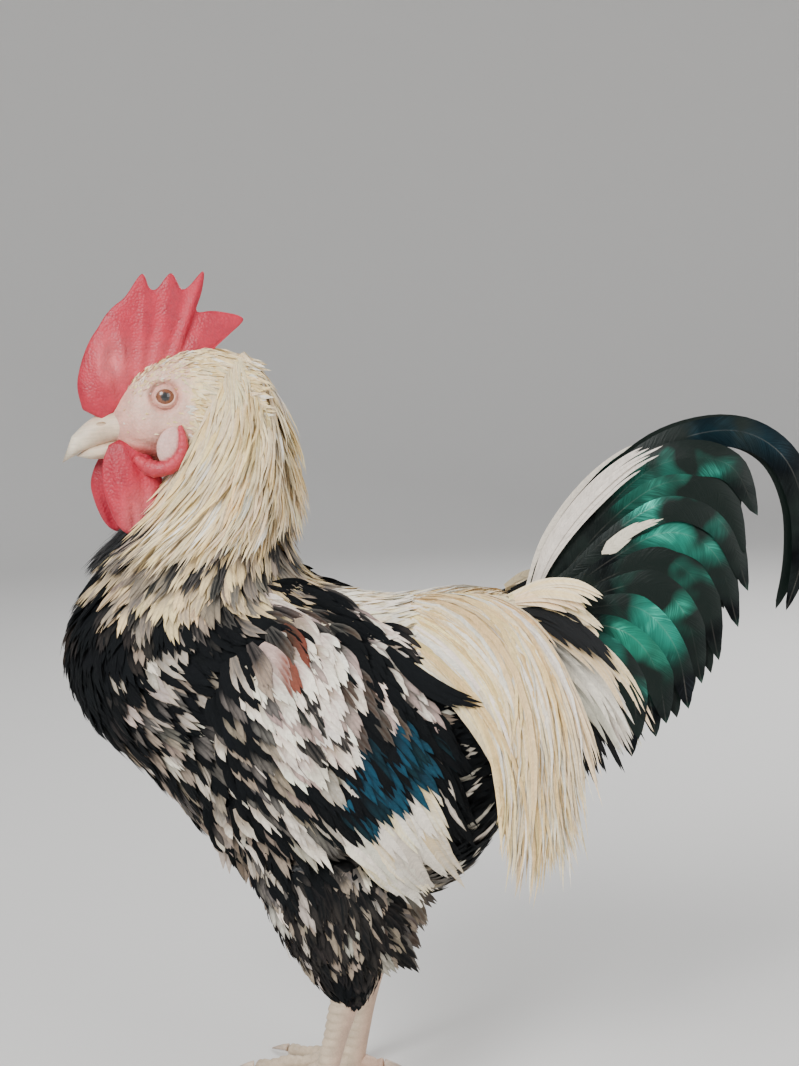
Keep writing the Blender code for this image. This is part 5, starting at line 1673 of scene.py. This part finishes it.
def toe(foot, direction, across, length, root_radius, tip_radius, plates):
    rings = []
    knuckles = 2 if length < 35 else 3
    for share in np.linspace(0, 1, plates * 6 + 1):
        knuckle = 1 + 0.1 * math.cos(share * math.tau * knuckles)
        end = math.sqrt(max(1 - smooth(0.93, 1.02, share), 0.05))
        radius = mixed(root_radius, tip_radius, share) * knuckle * end
        centre = foot + direction * (share * length)
        centre[2] = radius * 0.9
        ring = ring_round(centre, across * radius, (0, 0, radius), 20)
        ring = plated(ring, centre, share * plates % 1, (1, 0.2), PLATE_RISE, 0.7, 0.86)
        ring[:, 2] = np.maximum(ring[:, 2], 0)
        rings.append(ring)
    return loft("toe", rings)


def claw(name, kind, foot, direction, across, length):
    rings = []
    for share in np.linspace(0, 0.97, 16):
        radius = CLAW_RADIUS * (1 - share * 0.85)
        middle = foot + direction * (length + GAP + CLAW_LENGTH * share)
        middle[2] = CLAW_HEIGHT - 1.9 * share**1.6
        ring = ring_round(middle, across * radius, (0, 0, radius), 16)
        ring[:, 2] = np.maximum(ring[:, 2], 0.15)
        rings.append(ring)
    tip = foot + direction * (length + GAP + CLAW_LENGTH)
    tip[2] = 0.3
    obj = loft(f"claw_horn_{name}_{kind}", rings, None, tip)
    far = np.linalg.norm(coordinates(obj) - foot, axis=1) - length
    tint(obj, mixed(CLAW_ROOT, CLAW_TIP, smooth(1, CLAW_LENGTH, far)[:, None]))
    piece(obj, "horn", HORN_PAINT, f"claw_{name}_{kind}")


def legs():
    for name, side in SIDES.items():
        hock, ankle = np.array(HOCKS[name], float), np.array(ANKLES[name], float)
        hock[2] += 4
        foot = ankle + np.array([-0.8, 0, -ankle[2]])
        whole = shank(name, hock, ankle, foot)
        toes = []
        for kind, (heading, length, root_radius, tip_radius, plates) in TOES.items():
            angle = math.radians(-side * heading)
            direction = np.array([-math.cos(angle), math.sin(angle), 0])
            across = np.array([-direction[1], direction[0], 0])
            toes.append(toe(foot, direction, across, length, root_radius, tip_radius, plates))
            claw(name, kind, foot, direction, across, length)
        joined(whole, toes)
        x, _, z = coordinates(whole).T
        blush = 0.5 * smooth(-3, 4, x - np.interp(z, (7, 58), (ankle[0], hock[0])))
        tint(whole, mixed(SCALE_PALE, SCALE_BLUSH, blush[:, None]))
        whole.data.shade_smooth()
        whole.data.set_sharp_from_angle(angle=math.radians(60))
        piece(whole, "leg_scale", SCALE_SKIN, "shank_" + name, *[f"toe_{name}_{kind}" for kind in TOES])


comb()
for name, side in SIDES.items():
    wattle(name, side)
    ear_lobe(name, side)
beak()
legs()

# Eyes

# Edge of the pupil and of the iris, in degrees from the eye's axis
PUPIL = (21, 24)
IRIS_RIM = (40, 50)

for name, side in SIDES.items():
    centre = turned((EYE_CENTRE[0], side * EYE_CENTRE[1], EYE_CENTRE[2]))
    bpy.ops.mesh.primitive_uv_sphere_add(segments=48, ring_count=24, radius=EYE_RADIUS * MM)
    ball = bpy.context.object
    ball.name = ball.data.name = "eyeball_" + name
    ball.data.transform(Matrix.Translation(placed(centre)) @ Matrix.Rotation(math.pi / 2, 4, "X"))
    ball.data.shade_smooth()
    outward = turned((EYE_CENTRE[0], side * 60, EYE_CENTRE[2])) - centre
    reach = np.degrees(np.arccos(np.clip(unit(coordinates(ball) - centre) @ unit(outward), -1, 1)))
    iris, rim = smooth(*PUPIL, reach)[:, None], smooth(*IRIS_RIM, reach)[:, None]
    tint(ball, mixed(BLACK, np.array(IRIS_BROWN) * (1 - 0.8 * rim), iris))
    wet = skin_paint("eye_" + name, 300.0, 0.0, Coat_Weight=1.0, Coat_Roughness=0.03)
    piece(ball, "iris", wet, "eye_" + name)

# Floor, light and camera

# Floor in metres: flat radius, radius of the curve at its rim, height of the wall
FLOOR_RADIUS = 1.9
FLOOR_CURVE = 0.8
WALL_TOP = 3.0
# Lights: place and target in metres, power, size
LIGHTS = {
    "key": ((-0.7, -1.1, 1.1), (0, 0, 0.15), 29, 0.7),
    "fill": ((1.0, -0.9, 0.6), (0, 0, 0.15), 9, 0.9),
    "rim": ((0.6, 1.1, 1.1), (0, 0, 0.2), 16, 0.6),
}
WORLD_STRENGTH = 0.55
CAMERA_PLACE = (0, -632, 295)
LENS = 55
SENSOR = 36
PITCH = math.radians(6)
ROLL = math.radians(2)


def floor():
    """A round pale floor whose rim curves up into a wall."""
    profile = [(r, 0.0) for r in np.linspace(0.01, FLOOR_RADIUS, 12)]
    for a in np.linspace(0.1, math.pi / 2, 14):
        profile.append((FLOOR_RADIUS + FLOOR_CURVE * math.sin(a), FLOOR_CURVE - FLOOR_CURVE * math.cos(a)))
    profile.append((FLOOR_RADIUS + FLOOR_CURVE, WALL_TOP))
    size = 96
    turns = [math.tau * i / size for i in range(size)]
    points = [(radius * math.cos(a), radius * math.sin(a), up) for radius, up in profile for a in turns]
    faces = quads(len(profile), size) + [tuple(reversed(range(size)))]
    mesh = bpy.data.meshes.new("floor")
    mesh.from_pydata(points, [], faces)
    mesh.shade_smooth()
    mesh.materials.append(Paint("pale_floor", Base_Color=FLOOR_GREY, Roughness=0.8).material)
    linked("floor", mesh)


def area_light(name, place, target, power, size):
    light = bpy.data.lights.new(name, "AREA")
    light.energy = power
    light.size = size
    obj = linked(name, light)
    obj.location = place
    obj.rotation_euler = (Vector(target) - Vector(place)).to_track_quat("-Z", "Y").to_euler()


floor()
for name, settings in LIGHTS.items():
    area_light(name, *settings)
world = bpy.data.worlds.new("studio")
world.use_nodes = True
background = world.node_tree.nodes["Background"].inputs
background["Color"].default_value = (*STUDIO_WHITE, 1)
background["Strength"].default_value = WORLD_STRENGTH
bpy.context.scene.world = world

lens = bpy.data.cameras.new("camera")
lens.sensor_fit = "VERTICAL"
lens.sensor_height = lens.sensor_width = SENSOR
lens.lens = LENS
lens.clip_start = 0.01
camera = linked("camera", lens)
level = Matrix.Rotation(math.pi / 2 - PITCH, 4, "X")
camera.matrix_world = Matrix.Translation(placed(CAMERA_PLACE)) @ level @ Matrix.Rotation(-ROLL, 4, "Z")
bpy.context.scene.camera = camera
